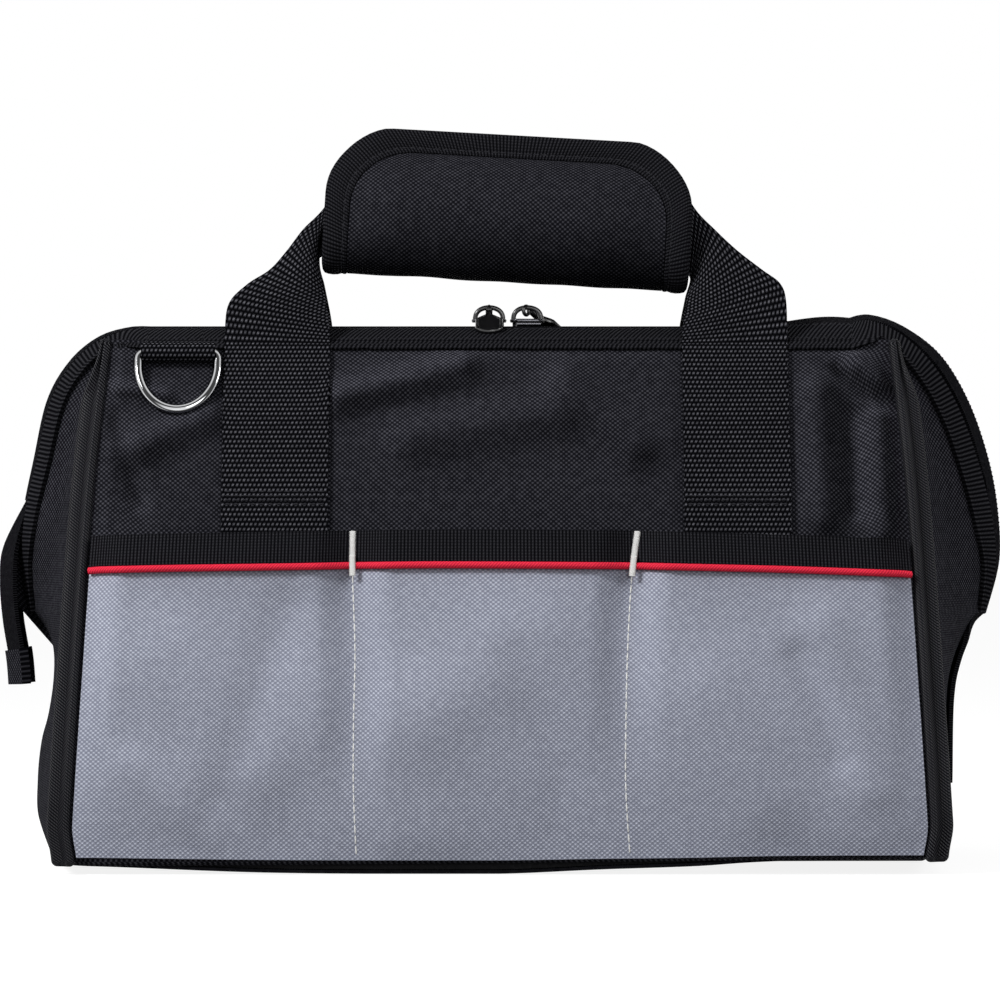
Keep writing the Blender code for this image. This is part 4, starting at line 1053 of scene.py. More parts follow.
def metal(name, colour, roughness, wear):
    """Plated metal: smooth, its shine broken by faint rub marks, with painted reflections as dark and bright
    bands in its colour.
    """
    mat, shader = new_finish(name, Metallic=1.0, Roughness=roughness)
    levels = {"Scale": rub_marks_per_metre, "Detail": 5, "Distortion": 0.4}
    marks = grain(mat, "ShaderNodeTexNoise", levels, 0.3, 0.75)
    rough = add(mat, "ShaderNodeMapRange", {0: marks, 3: roughness, 4: roughness + wear})[0]
    mat.node_tree.links.new(rough, shader.inputs["Roughness"])
    # Painted reflection: dark and bright bands painted in the colour, as a polished round wire reflects them
    # from its face to its edge
    facing_for_painted_reflection = add(mat, "ShaderNodeLayerWeight", {"Blend": 0.5})["Facing"]
    band = add(mat, "ShaderNodeValToRGB", {0: facing_for_painted_reflection})
    painted_reflection_ramp = band[0].node.color_ramp
    painted_reflection_stops = [(0.0, 1.0), (0.03, 0.9), (0.06, 0.06), (0.14, 0.08), (0.22, 0.9), (0.45, 0.6), (0.7, 0.04)]
    painted_reflection_ramp.elements[0].position, painted_reflection_ramp.elements[1].position = painted_reflection_stops[0][0], painted_reflection_stops[-1][0]
    for place, _ in painted_reflection_stops[1:-1]:
        painted_reflection_ramp.elements.new(place)
    for element, (_, level) in zip(painted_reflection_ramp.elements, painted_reflection_stops):
        element.color = (*shaded(colour, level), 1)
    mat.node_tree.links.new(band[0], shader.inputs["Base Color"])
    return mat


def enamel(name, colour):
    """A deep gloss coat over black."""
    mat, shader = new_finish(name, Roughness=0.28, IOR=1.5, Coat_Weight=0.6, Coat_Roughness=0.12)
    marks = grain(mat, "ShaderNodeTexNoise", {"Scale": enamel_marks_per_metre, "Detail": 4})
    tones = {0: marks, 6: (*shaded(colour, 0.7), 1), 7: (*colour, 1)}
    shade = add(mat, "ShaderNodeMix", tones, data_type="RGBA")[2]
    mat.node_tree.links.new(shade, shader.inputs["Base Color"])
    return mat


def shaded(colour, share):
    return [c * share for c in colour]


def finish(look):
    """The material of that look, made the first time that it is asked for."""
    colours = bpy.context.scene.bag_colours
    sizes = bpy.context.scene.bag_sizes
    across, along, thread = sizes.cloth_across, sizes.cloth_along, sizes.thread
    tape, band = sizes.tape_rib, sizes.band_rib
    rib, gap, shade = colours.black_rib, colours.black_gap, colours.black_shade

    def bias(m):
        return ribs(m, tape * 0.9, 0.8, tape * 0.7, 0.3)

    def specks(per_metre):
        return lambda m: grain(m, "ShaderNodeTexNoise", {"Scale": per_metre, "Detail": 2})

    def fibres(m):
        levels = {"Scale": board_fibres_per_metre, "Detail": 6, "Roughness": 0.7}
        return grain(m, "ShaderNodeTexNoise", levels, 0.35, 0.7)

    def cells(spacing, low, high):
        return lambda m: grain(m, "ShaderNodeTexVoronoi", {"Scale": 1 / spacing}, low, high, "SMOOTHSTEP")

    # Each has its maker, its name and what the maker asks for: a surface its height, gaps, tops and depth,
    # then how patchy, how shiny and how rough it is, and its refraction
    makers = {
        # Coarse oxford polyester, woven: staggered thread tops that catch light over near-black gaps
        "black_cloth": (
            surface, "oxford_polyester_black", lambda m: plain_weave(m, across, along, -0.4, 1.0),
            shade, colours.black_cloth, across / 12, 0.3, 0.1, 0.78,
        ),
        # The same weave, dyed grey: pale thread tops and darker gaps
        "grey_cloth": (
            surface, "oxford_polyester_grey", lambda m: plain_weave(m, across, along * 0.92, -0.5, 1.1),
            colours.grey_shade, colours.grey_cloth, across / 12, 0.08, 0.15, 0.82,
        ),
        # Cloth cut on the bias over cord: fine slanting threads, pulled smooth, with a soft shine along it
        "beads": (surface, "bias_beads_black", bias, gap, rib, tape / 16, 0.15, 0.3, 0.42),
        # Woven polypropylene webbing: rows of bright thread dots with dark grooves between the rows
        "webbing": (
            surface, "polypropylene_webbing_black", lambda m: webbing_rows(m, sizes.web_row, sizes.web_dot),
            gap, colours.black_web, sizes.web_row / 6, 0.15, 0.3, 0.6, 1.49,
        ),
        # Grosgrain binding tape, woven: fine ribs across the tape, matt and near black
        "tape": (
            surface, "grosgrain_tape_black", lambda m: ribs(m, tape, 0, tape * 0.9, 0.5), gap, rib, tape / 6,
        ),
        # Heavy twill tape, woven: raised ribs that lean over, each made of small threads
        "band": (
            surface, "twill_band_black", lambda m: ribs(m, band, band_slant, band * 0.6, 0.45),
            gap, rib, band / 5, 0.12, 0.1, 0.78,
        ),
        # Woven zip tape: a fine flat weave, duller than the cloth
        "zip_tape": (
            surface, "zip_tape_black", lambda m: plain_weave(m, across / 2, along / 2),
            gap, rib, across / 20, 0.12, 0.1, 0.85,
        ),
        # Woven piping cloth cut on the bias: bright red with fine slanting threads
        "piping": (
            surface, "bias_piping_red", bias,
            shaded(colours.piping, 0.55), colours.piping, tape / 10, 0.05, 0.3, 0.7,
        ),
        # Spun polyester thread: soft and uneven along its length, with a faint sheen
        "white_thread": (
            surface, "spun_thread_white", specks(spun_fibres_per_metre),
            shaded(colours.white_thread, 0.72), colours.white_thread, thread / 6, 0.06, 0.3, 0.6,
        ),
        "black_thread": (
            surface, "spun_thread_black", specks(spun_fibres_per_metre),
            shaded(rib, 0.72), rib, thread / 6, 0.06, 0.3, 0.6,
        ),
        # Taffeta lining: a fine smooth weave with a slight satin shine
        "lining": (
            surface, "taffeta_lining", lambda m: plain_weave(m, across * 0.6, along * 0.6),
            shaded(colours.lining, 0.5), colours.lining, across / 24, 0.1, 0.4, 0.5,
        ),
        # Closed-cell polyethylene foam, skived: a matt skin with small open cells
        "foam": (
            surface, "polyethylene_foam", cells(sizes.web_row, 0.1, 0.6),
            shaded(colours.foam, 0.6), colours.foam, thread, 0.12, 0.1, 0.95,
        ),
        # Pressed fibreboard: short pale fibres in a dark matt sheet
        "board": (
            surface, "pressed_fibreboard", fibres,
            shaded(colours.board, 0.7), colours.board, thread / 3, 0.12, 0.1, 0.85,
        ),
        # Moulded acetal: black plastic with a low gloss that catches light on each tooth
        "teeth": (
            surface, "acetal_teeth_black", specks(moulding_marks_per_metre),
            shade, shaded(shade, 2), thread / 10, 0.1, 0.6, 0.35, 1.48,
        ),
        # Nylon closure tape: a dense pile of tiny hooks, and one of brushed loops
        "hooks": (
            surface, "nylon_hook_tape", cells(thread * 2, 0.7, 0.1), shade, rib, thread, 0.12, 0.1, 0.9,
        ),
        "loops": (
            surface, "nylon_loop_tape", cells(thread, 0.7, 0.1),
            shade, colours.black_cloth, thread / 2, 0.12, 0.1, 0.9,
        ),
        # Gunmetal plate on cast zinc and chrome on steel wire: painted reflections as bright and dark bands,
        # with faint rub marks
        "gunmetal": (metal, "gunmetal_plated_zinc", colours.gunmetal, 0.3, 0.15),
        "chrome": (metal, "chromed_steel_wire", colours.chrome, 0.06, 0.05),
        # Baked black enamel on cast zinc: a clear deep gloss
        "enamel": (enamel, "baked_enamel_black", colours.enamel),
    }
    make, name, *settings = makers[look]
    return bpy.data.materials.get(name) or make(name, *settings)


# Pieces of the body

def wall_sheet(name, face, depth, thickness, look, low, high, side_margin, columns, rows):
    """A layer of the front or back wall, so far in from its outer face."""
    grid = []
    for up in spaced(0, 1, rows):
        line = []
        for across in spaced(-1, 1, columns):
            at_corner = abs(across) * top_length / 2 - lip_half_length + band_width / 2
            z = low + (high + corner_rise * eased(at_corner / band_width) - low) * up
            line.append(wall_point(across * (corner_x(z) - side_margin), z, face, -depth))
        grid.append(line)
    return sheet(name, grid, thickness, look, way_out(y=face))


def make_walls():
    low = base_lip + clearance
    high = seam_height - clearance
    for word, face in faces.items():
        wall = wall_sheet(
            f"{word}_wall_cloth", face, 0.0, fabric, "black_cloth", low, high, bead_radius / 2, 150, 100,
        )
        # Painted light and shade on the wall cloth, from the slopes of its folds
        paint_relief_shading(wall, lambda x, z: wall_relief(x, z, face), wall_painted_shade_share)
        dress(wall, "black_fabric", f"{word}_panel")
        layer = wall_sheet(
            f"{word}_wall_foam", face, fabric + clearance * 6, foam, "foam",
            low + foam / 2, high - foam, bead_radius + foam, 120, 80,
        )
        dress(layer, "foam_sheet", f"{word}_foam")


def make_lining():
    """One sheet of lining down the front, across the base and up the back, slightly loose."""
    depth = fabric + foam + clearance * 8
    floor = fabric + board_thickness + clearance * 2 + lining
    heights = spaced(seam_height - foam * 2, floor + lining * 5, 40)
    half = base_depth / 2 - depth - lining * 4

    def across(z):
        reach = corner_x(z) - bead_radius - foam * 2
        return spaced(-reach, reach, 48)

    def row(z, face):
        return [
            wall_form(x, z, face) + wall_normal(x, z, face) * (wall_relief(x, z, face) * 0.9 - depth - lining)
            for x in across(z)
        ]

    grid = [row(z, -1) for z in heights]
    grid += [
        [Vector((x, y, floor + toe_lift(x, y, 0))) for x in across(0)] for y in spaced(-half, half, 24)
    ]
    grid += [row(z, 1) for z in reversed(heights)]
    inside = Vector((0, 0, seam_height / 2))
    piece = sheet("lining_sheet", grid, lining, "lining", lambda place: inside - place)
    dress(piece, "liner_fabric", "liner")


def make_base():
    """The base's cloth tray with its rolled edge, and the board bent to it."""
    length = corner_x(0) + bead_step_out
    depth = base_depth / 2 + fabric / 2

    def ring(inset, z):
        radius = max(base_corner - inset, base_corner / 8)
        points = []
        for quarter, (to_x, to_y) in enumerate(((1, 1), (-1, 1), (-1, -1), (1, -1))):
            for angle in spaced(pi / 2 * quarter, pi / 2 * (quarter + 1), 10):
                x = (length - inset - radius) * to_x + radius * cos(angle)
                y = (depth - inset - radius) * to_y + radius * sin(angle)
                points.append(Vector((x, y, z + toe_lift(x, y, z))))
        return points + points[:1]

    def level_rows(reach, half, z):
        """Rows over the base inside its rounded corners, which follow its raised edge."""
        radius = base_corner - (depth - half)
        rows = []
        for y in spaced(-half, half, 40):
            short = max(radius - half + abs(y), 0)
            side = reach - radius + sqrt(max(radius**2 - short**2, 0))
            rows.append([Vector((x, y, z + toe_lift(x, y, 0))) for x in spaced(-side, side, 60)])
        return rows

    profile = [(0, base_lip), (0, (base_lip + base_edge) / 2)]
    profile += [(base_edge * (1 - cos(turn)), base_edge * (1 - sin(turn))) for turn in spaced(0, pi / 2, 6)]
    outer = [ring(inset, z) for inset, z in profile]
    inner = [ring(inset + fabric, max(z, fabric)) for inset, z in profile]
    tray = two_skins(
        "base_rim_cloth", outer, inner, "black_cloth", lambda place: Vector((place.x, place.y, 0))
    )
    floor = level_rows(length - base_edge, depth - base_edge, 0)
    flat = sheet("base_floor_cloth", floor, fabric, "black_cloth", way_out(z=-1))
    dress(joined("base_cloth", [tray, flat]), "black_fabric", "base_panel")
    reach, half, top = [max(corner[i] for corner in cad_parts["base_board"].bound_box) for i in range(3)]
    board = sheet("bent_base_board", level_rows(reach, half, top), board_thickness, "board", way_out(z=1))
    dress(board, "board", "base_board")


def make_ends():
    """The end cloth: below the zip's end one curved piece, and above it a wing on each side of the zip."""
    low = base_lip + clearance
    top = seam_height - bead_radius - clearance
    shares = spaced(0, 1, 26)
    for word, side in sides.items():
        ear_end = ear_lines[side][-1]
        halves = []
        for face in (-1, 1):
            grid = []
            for z in spaced(low, ear_end.z, 40)[:-1]:
                start = corner_start(side, face, z)
                grid.append([end_point(side, z, start.y * (1 - c)) for c in shares])
            for i, share in enumerate(spaced(1, 0.2, 56)):
                seam = seam_point(ear_section(side, share), face) if i else ear_end
                start = corner_start(side, face, min(seam.z, top))
                dip = Vector((side * end_dip * eased(i / 10), 0, 0))
                grid.append([start.lerp(seam, c) - dip * sin(pi * c) ** 2 for c in shares])
            halves.append(sheet(f"{word}_end_half_{face}", grid, fabric, "black_cloth", way_out(x=side)))
        dress(joined(f"{word}_end_cloth", halves), "black_fabric", f"{word}_end_panel")


def bead_ring(side, face, z, radius):
    """The outline of a corner's two beads at a height: two round cords with a waist between them."""
    spread = 0.02 + 0.98 * eased((seam_height - z) / (seam_height - second_bead_top))
    first = Vector((side * corner_x(z), face * wall_y(z), z))
    first.z += toe_bead_share * toe_lift(first.x, first.y, 0) * (1 - eased(z / toe_fade))
    second = first + Vector((side * bead_step_out, -face * bead_step_back, 0)) * spread
    between = second - first
    turn = atan2(between.y, between.x)

    def spoke(share, reach):
        angle = turn + pi * share
        return Vector((cos(angle), sin(angle), 0)) * reach

    ring = []
    for middle, start in ((second, -0.5), (first, 0.5)):
        ring += [middle + spoke(start + (k + 0.5) / 12, radius) for k in range(12)]
        ring.append((first + second) / 2 + spoke(start + 1, radius * bead_waist_share))
    return ring


def make_corner_beads():
    """Two corded beads side by side down each corner, running into one at the top."""
    cord = bead_radius * bead_cord_share
    foot = bead_floor_gap + cord
    head = seam_height + corner_rise - cord
    turns = spaced(0, pi / 2, 8)[1:]
    heights = [foot - cord * cos(turn) for turn in turns] + spaced(foot, head, 90)[1:-1]
    heights += [head + cord * cos(turn) for turn in reversed(turns)]
    for side_word, side in sides.items():
        for face_word, face in faces.items():
            rings = []
            for z in heights:
                rings.append(bead_ring(side, face, z, sqrt(cord**2 - max(foot - z, z - head, 0) ** 2)))

            def outward(place):
                return Vector((place.x - side * corner_x(place.z), place.y - face * wall_y(place.z), 0))

            name = f"{face_word}_{side_word}_corner_beads"
            bead = skin(name, rings, "beads", outward)
            dress(bead, "black_fabric", f"corner_piping_{face_word}_{side_word}")


# Pockets

def pocket_grid(face, low, high, rows, out, margin, columns=150):
    grid = []
    for z in spaced(low, high, rows):
        reach = corner_x(z) - margin
        grid.append([pocket_point(x, z, face, out) for x in spaced(-reach, reach, columns)])
    return grid


def make_pockets():
    """The pocket cloth with its taped and piped mouth, sewn dividers and bar tacks."""
    sizes = bpy.context.scene.bag_sizes
    stitch = sizes.divider_stitch
    thread = sizes.thread
    low = base_lip + clearance
    margin = bead_radius + clearance * 2
    tape_low = pocket_height - pocket_tape_height
    piping_z = tape_low - pocket_piping_radius - clearance
    skin_out = pocket_thickness + clearance
    for word, face in faces.items():
        def up_divider(divider, heights, out):
            line = []
            for z in heights:
                x = divider_x(divider, z)
                line.append((pocket_point(x, z, face, out(z)), wall_normal(x, z, face)))
            return line

        def over_mouth(z):
            on_piping = z < tape_low + pocket_piping_radius
            return skin_out + thread * 0.6 + (pocket_piping_radius * 2 if on_piping else pocket_tape)

        grid = pocket_grid(face, low, pocket_height, 70, pocket_thickness, margin)
        pocket = sheet(f"{word}_pocket_cloth", grid, pocket_thickness, "grey_cloth", way_out(y=face))
        # Painted light and shade on the pocket cloth, from the slopes of its swells and folds
        paint_relief_shading(pocket, lambda x, z: pocket_lift(x, z) + wall_relief(x, z, face), pocket_painted_shade_share)
        dress(pocket, "grey_fabric", f"{word}_pocket")

        across = pocket_grid(face, tape_low, pocket_height + clearance * 2, 8, skin_out + pocket_tape, margin)
        turned = [list(row) for row in zip(*across)]
        tape = sheet(f"{word}_pocket_binding", turned, pocket_tape, "tape", way_out(y=face))
        dress(tape, "black_tape", f"{word}_pocket_tape")

        path = pocket_grid(face, piping_z, piping_z, 1, skin_out + pocket_piping_radius, margin, 220)[0]
        cord = rod(
            f"{word}_pocket_piping_cord", path, pocket_piping_radius, "piping", Vector((0, 0, 1)), 14,
        )
        dress(cord, "red_piping", f"{word}_pocket_piping")

        heights = spaced(low + stitch, tape_low - pocket_piping_radius * 2, 60)
        lines = [up_divider(divider, heights, lambda z: pocket_thickness + thread * 0.1) for divider in sides]
        seam = repeated(
            f"{word}_divider_stitches", lines, stitch, stitch * 0.94, thread * 1.1, thread * 0.7,
            "white_thread",
        )
        dress(seam, "white_thread")

        heights = spaced(pocket_height - bartack_length, pocket_height, 24)
        for divider in sides:
            tack = repeated(
                f"{word}_{divider}_bar_tack", [up_divider(divider, heights, over_mouth)], thread * 0.8,
                thread * 1.15, bartack_width, thread * 1.4, "white_thread",
            )
            dress(tack, "white_thread", f"{word}_bartack_{divider}")


# Mouth

def crowned(section, face, distance, crown, out):
    """A point so far from the zip and out from its band or tape, which crown up between zip and seam."""
    zip_point, inward, width, depth = section
    across = Vector((0, face, 0))
    slope = (across * width + inward * depth).normalized()
    off = slope.cross(inward.cross(across)).normalized()
    if off.dot(inward) > 0:
        off = -off
    rise = crown * max(sin(pi * distance / hypot(width, depth)), 0) ** 0.8
    return zip_point + slope * distance + off * (out + rise)


def band_row(section, face, crown, width=band_width):
    """A row across a mouth band, from the zip's tape out to its seam."""
    length = hypot(section[2], section[3])
    start = max(length - width, length * zip_tape_share + clearance)
    distances = spaced(start, length - lip_seam_gap, 12)
    return [crowned(section, face, distance, crown, band_thickness / 2) for distance in distances]


def hem_row(section, face, ease=0.0, side=1):
    """A row down a band's hem, which is rolled over the seam and laid on the cloth below it."""
    zip_point, inward, width, depth = section
    seam = seam_point(section, face)
    down = wall_form(seam.x, seam_height - hem, face) - wall_form(seam.x, seam_height, face)
    way = down.normalized()
    off = wall_normal(seam.x, seam_height, face)
    if ease > 0:
        start = corner_start(side, face, min(seam.z, seam_height - bead_radius - clearance))
        wing = (start - seam).normalized()
        along = inward.cross(Vector((0, 1, 0)))
        wing_off = along.cross(wing).normalized()
        if wing_off.dot(zip_point - Vector((0, 0, seam_height / 2))) < 0:
            wing_off = -wing_off
        way = way.lerp(wing, ease).normalized()
        off = off.lerp(wing_off, ease).normalized()
    uneven = 1 + 0.12 * noise.noise(seam / hem)
    length = hypot(width, depth)
    crown = bpy.context.scene.bag_sizes.lip_crown * (1 - ease / 2)
    row = [
        crowned(section, face, length - back, crown, band_thickness / 2)
        for back in (lip_seam_gap - clearance, lip_seam_gap / 2, 0)
    ]
    for down, out in hem_shares:
        row.append(seam + way * (hem * down * uneven) + off * (band_thickness * out))
    return row


def straighten(band, side):
    """Turns the leaning ribs of the mouth square to the band as it runs down over the end."""
    turn_length = ear_length * ear_ease_share * 2
    for item in band.data.uv_layers["cloth"].data:
        across, along = item.uv
        ease = eased(along / turn_length)
        item.uv = (across, along - band_slant * across * (ease if side > 0 else 2 - ease))


def tape_row(section, face, crown):
    """A row across the zip's tape, from beside the teeth out to the band."""
    length = hypot(section[2], section[3])
    end = max(length - band_width - clearance, length * zip_tape_share)
    distances = spaced(min(teeth_half_width, end / 2) * 0.6, end, 6)
    return [crowned(section, face, distance, crown, zip_tape / 2) for distance in distances]


def teeth_line(sections, face):
    """The line of a row of teeth beside the middle of the zip, and its way up."""
    shift = Vector((0, face * teeth_shift, 0))
    return [(section[0] + shift + section[1] * clearance, -section[1]) for section in sections]


def teeth_along(name, lines, share=0.7):
    pitch = bpy.context.scene.bag_sizes.tooth_pitch
    height = teeth_thickness * 0.68 * share
    return repeated(name, lines, pitch, pitch * 0.6, teeth_half_width * 1.4, height, "teeth", block=True)


def lip_teeth(face, start, end):
    """The rows of teeth on each side of the two sliders, between two places along the mouth."""
    pitch = bpy.context.scene.bag_sizes.tooth_pitch
    spare = slider_length / 2 + clearance
    first = pitch / 2 * (face < 0)
    runs = []
    for low, high in ((start, min(end, left_slider_x - spare)), (max(start, right_slider_x + spare), end)):
        count = int((high - low) / pitch)
        if count > 1:
            runs.append(teeth_line([lip_section(low + first + pitch * i) for i in range(count + 1)], face))
    return runs


def lip_seams(lip, face):
    """The lines of the two seams along a mouth band."""
    sizes = bpy.context.scene.bag_sizes
    half_stitch = sizes.seam_stitch * 0.5
    lines = []
    for inset in (half_stitch, band_width - lip_seam_gap - half_stitch):
        line = []
        for section in lip:
            distance = hypot(section[2], section[3]) - lip_seam_gap - inset
            point = crowned(section, face, distance, sizes.lip_crown, band_thickness / 2)
            off = crowned(section, face, distance, sizes.lip_crown, band_thickness) - point
            line.append((point, off.normalized()))
        lines.append(line)
    return lines


def make_lips():
    """Bands, tapes, teeth and seams of the straight mouth, which part as it opens."""
    crown = bpy.context.scene.bag_sizes.lip_crown
    free = lip_half_length - lip_blend
    reach = lip_half_length
    spans = (("", -free, free, 100), ("_left_end", -reach, -free, 16), ("_right_end", free, reach, 16))
    for word, face in faces.items():
        for place, start, end, count in spans:
            lip = [lip_section(x) for x in spaced(start, end, count)]
            name = f"{word}_mouth_%s{place}"
            bands = [band_row(section, face, crown) for section in lip]
            tapes = [tape_row(section, face, crown) for section in lip]
            band = sheet(name % "band", bands, band_thickness, "band", way_out(z=1))
            tape = sheet(name % "zip_tape", tapes, zip_tape, "zip_tape", way_out(z=1))
            teeth = teeth_along(name % "teeth", lip_teeth(face, start, end), 1.0)
            stitches = seam_stitches(name % "stitches", lip_seams(lip, face))
            for piece, slot in (
                (band, "black_tape"), (tape, "zip_plastic"), (teeth, "zip_plastic"), (stitches, "black_tape"),
            ):
                if place:
                    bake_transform(piece)
                else:
                    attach(piece, f"{word}_lip")
            if not place:
                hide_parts(f"{word}_lip_band")
                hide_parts(f"{word}_lip_zip")
        hem_rows = [hem_row(lip_section(x), face) for x in spaced(-reach, reach, 160)]
        welt = sheet(f"{word}_mouth_hem", hem_rows, band_thickness, "band", way_out(y=face))
        dress(welt, "black_tape")


def make_zip_ends():
    """The bands, tapes and teeth that run down over both ends."""

    def crown_at(share):
        crown = bpy.context.scene.bag_sizes.lip_crown
        return crown * (1 - 0.5 * eased(share / ear_settle_share))

    def outward(place):
        return place - Vector((0, 0, seam_height / 2))

    for word, side in sides.items():
        for face_word, face in faces.items():
            rows = []
            for share in spaced(0, 1, 100):
                section = ear_section(side, share)
                ease = eased(share / ear_ease_share)
                width = band_width + (ear_band_width - band_width) * ease
                row = band_row(section, face, crown_at(share), width)
                rows.append(row + hem_row(section, face, ease, side)[1:])
            band = sheet(f"{face_word}_{word}_end_band", rows, band_thickness, "band", outward)
            straighten(band, side)
            dress(band, "black_tape", f"ear_band_{face_word}_{word}")
        shares = spaced(0, 1 if side > 0 else left_zip_share, 90)
        sections = [ear_section(side, share) for share in shares]
        tapes = []
        for face in (-1, 1):
            rows = [tape_row(section, face, crown_at(share)) for section, share in zip(sections, shares)]
            tapes.append(sheet(f"{word}_end_zip_tape_{face}", rows, zip_tape, "zip_tape", outward))
        dress(joined(f"{word}_end_zip_tape", tapes), "zip_plastic", f"ear_zip_{word}")
        teeth = teeth_along(f"{word}_end_teeth", [teeth_line(sections, face) for face in (-1, 1)])
        dress(teeth, "zip_plastic")


def make_left_tail():
    """The loose zip end on the left, which opens out of the closed zip and ends in a folded cloth tab."""
    start, inward, _, _ = ear_section(-1, left_zip_share)
    path = [start + Vector((inward.z, 0, -inward.x)) * clearance]
    path += [Vector((-(lip_half_length + ear_length * x), 0, ridge_height * z)) for x, z in left_tail_shares]
    steps = 80
    line = curve_through(path, steps)
    length = sum((b - a).length for a, b in zip(line, line[1:]))
    tab_share = 1 - tail_tab_length / length

    def frame_at(share):
        at = share * steps
        low = min(int(at), steps - 1)
        middle = line[low].lerp(line[low + 1], at - low)
        ahead = (line[min(low + 3, steps)] - line[max(low - 2, 0)]).normalized()
        return middle, Vector((-ahead.z, 0, ahead.x))

    def row(share, spread, wall):
        middle, behind = frame_at(share)
        opened = spread * (tail_neck_share + (1 - tail_neck_share) * eased(share / tail_neck_share))
        points = []
        for c in spaced(-1, 1, 16):
            back = tail_fold_depth * opened * (sqrt(c * c + 0.02) - sqrt(0.02)) - wall
            points.append(middle + Vector((0, tail_half_width * opened * c, 0)) + behind * back)
        return points

    rows = [row(s, 1, 0) for s in spaced(0, tab_share, 50)]
    strip = sheet("left_tail_tape", rows, tail_thickness, "zip_tape", way_out(x=-1))
    dress(strip, "black_tape", "left_zip_tail")
    rows = []
    for s in spaced(0, 1, 24):
        section = ear_section(-1, left_zip_share + (1 - left_zip_share) * s)
        middle, behind = frame_at(web_share * s)
        outer = middle + behind * tail_thickness
        inner = section[0] + section[1] * (section[3] * 0.6 + web_tuck * s)
        rows.append([outer.lerp(inner, c) for c in spaced(0, 1, 8)])
    last = rows[-1]
    foot = end_point(-1, web_foot, 0)
    feet = [foot + Vector((web_tuck * c, 0, 0)) for c in spaced(0, 1, 8)]
    rows += [[p.lerp(q, s) for p, q in zip(last, feet)] for s in spaced(0.2, 1, 5)]
    web = sheet("left_tail_web", rows, fabric, "black_cloth", way_out(y=-1))
    dress(web, "black_fabric")
    rows = [row(s, tail_tab_spread_share, tail_tab_wall) for s in spaced(tab_share, 1, 14)]
    cover = sheet(
        "left_tail_cover", rows, tail_thickness + tail_tab_wall * 2, "black_cloth", way_out(x=-1),
    )
    dress(cover, "black_fabric", "left_tail_tab")
    places = [frame_at(share) for share in spaced(0, tab_share, 40)]
    runs = []
    for face in (-1, 1):
        shift = Vector((0, face * teeth_shift, 0))
        runs.append([(middle + shift + behind * zip_tape * 0.5, -behind) for middle, behind in places])
    dress(teeth_along("left_tail_teeth", runs), "zip_plastic")


def make_right_tail():
    """The right zip end, which hangs from the closed zip and lies on the end cloth."""
    rows = []
    run = []
    for share in spaced(0, 1, 40):
        z = ear_lines[1][-1].z - tail_length * share
        middle = right_tail_drift * share
        out = (right_tail_gap + tail_thickness) * eased(share / tail_settle_share)
        across = spaced(middle - tail_half_width, middle + tail_half_width, 10)
        rows.append([end_point(1, z, y, out) for y in across])
        if share > tail_settle_share:
            run.append(end_point(1, z, middle, out - clearance))
    tape = sheet("right_tail_tape", rows, tail_thickness, "zip_tape", way_out(x=1))
    dress(tape, "black_tape", "right_zip_tail")
    runs = [[(p + Vector((0, face * teeth_shift, 0)), Vector((1, 0, 0))) for p in run] for face in (-1, 1)]
    dress(teeth_along("right_tail_teeth", runs), "zip_plastic")


# Handles

def grip_web_edges(x, face):
    """The lower and upper edges of a handle's webbing inside the grip."""
    rise = sqrt(webbing_width**2 - (grip_web_half_depth - grip_web_neck) ** 2)
    low = grip_place(x, face * grip_web_half_depth, grip_bottom + grip_web_rise)
    high = grip_place(x, face * grip_web_neck, grip_bottom + grip_web_rise + rise)
    return low, high


def leg_rows(face, side, middle, count):
    """Rows up a free leg of the webbing, from the mouth's seam to the grip."""
    near = middle - side * webbing_width / 2
    far = middle + side * webbing_width / 2
    entry = grip_middle + side * (grip_length / 2 - grip_entry)
    low, high = grip_web_edges(entry, face)
    turn = entry + side * (grip_entry + webbing)
    base = wall_point(middle, seam_height, face, strap_lift + webbing)
    base.z = seam_height + clearance

    def way(start_x, end_x, top, shares):
        points = []
        for reach, depth, rise in shares:
            x = start_x + (end_x - start_x) * reach
            points.append(Vector((x, base.y + (top.y - base.y) * depth, base.z + (top.z - base.z) * rise)))
        return points

    inner = curve_through(way(near, turn, low, leg_inner_shares) + [low], count)
    outer = curve_through(way(far, high.x, high, leg_shares[side]), count)
    rows = []
    for k, (a, b) in enumerate(zip(inner, outer)):
        swell = Vector((0, face * leg_swell * sin(pi * k / count) ** 2 * 4, 0))
        row = [a.lerp(b, c) + swell * c * (1 - c) for c in spaced(0, 1, 16)]
        rows.append(row if side > 0 else row[::-1])
    return rows


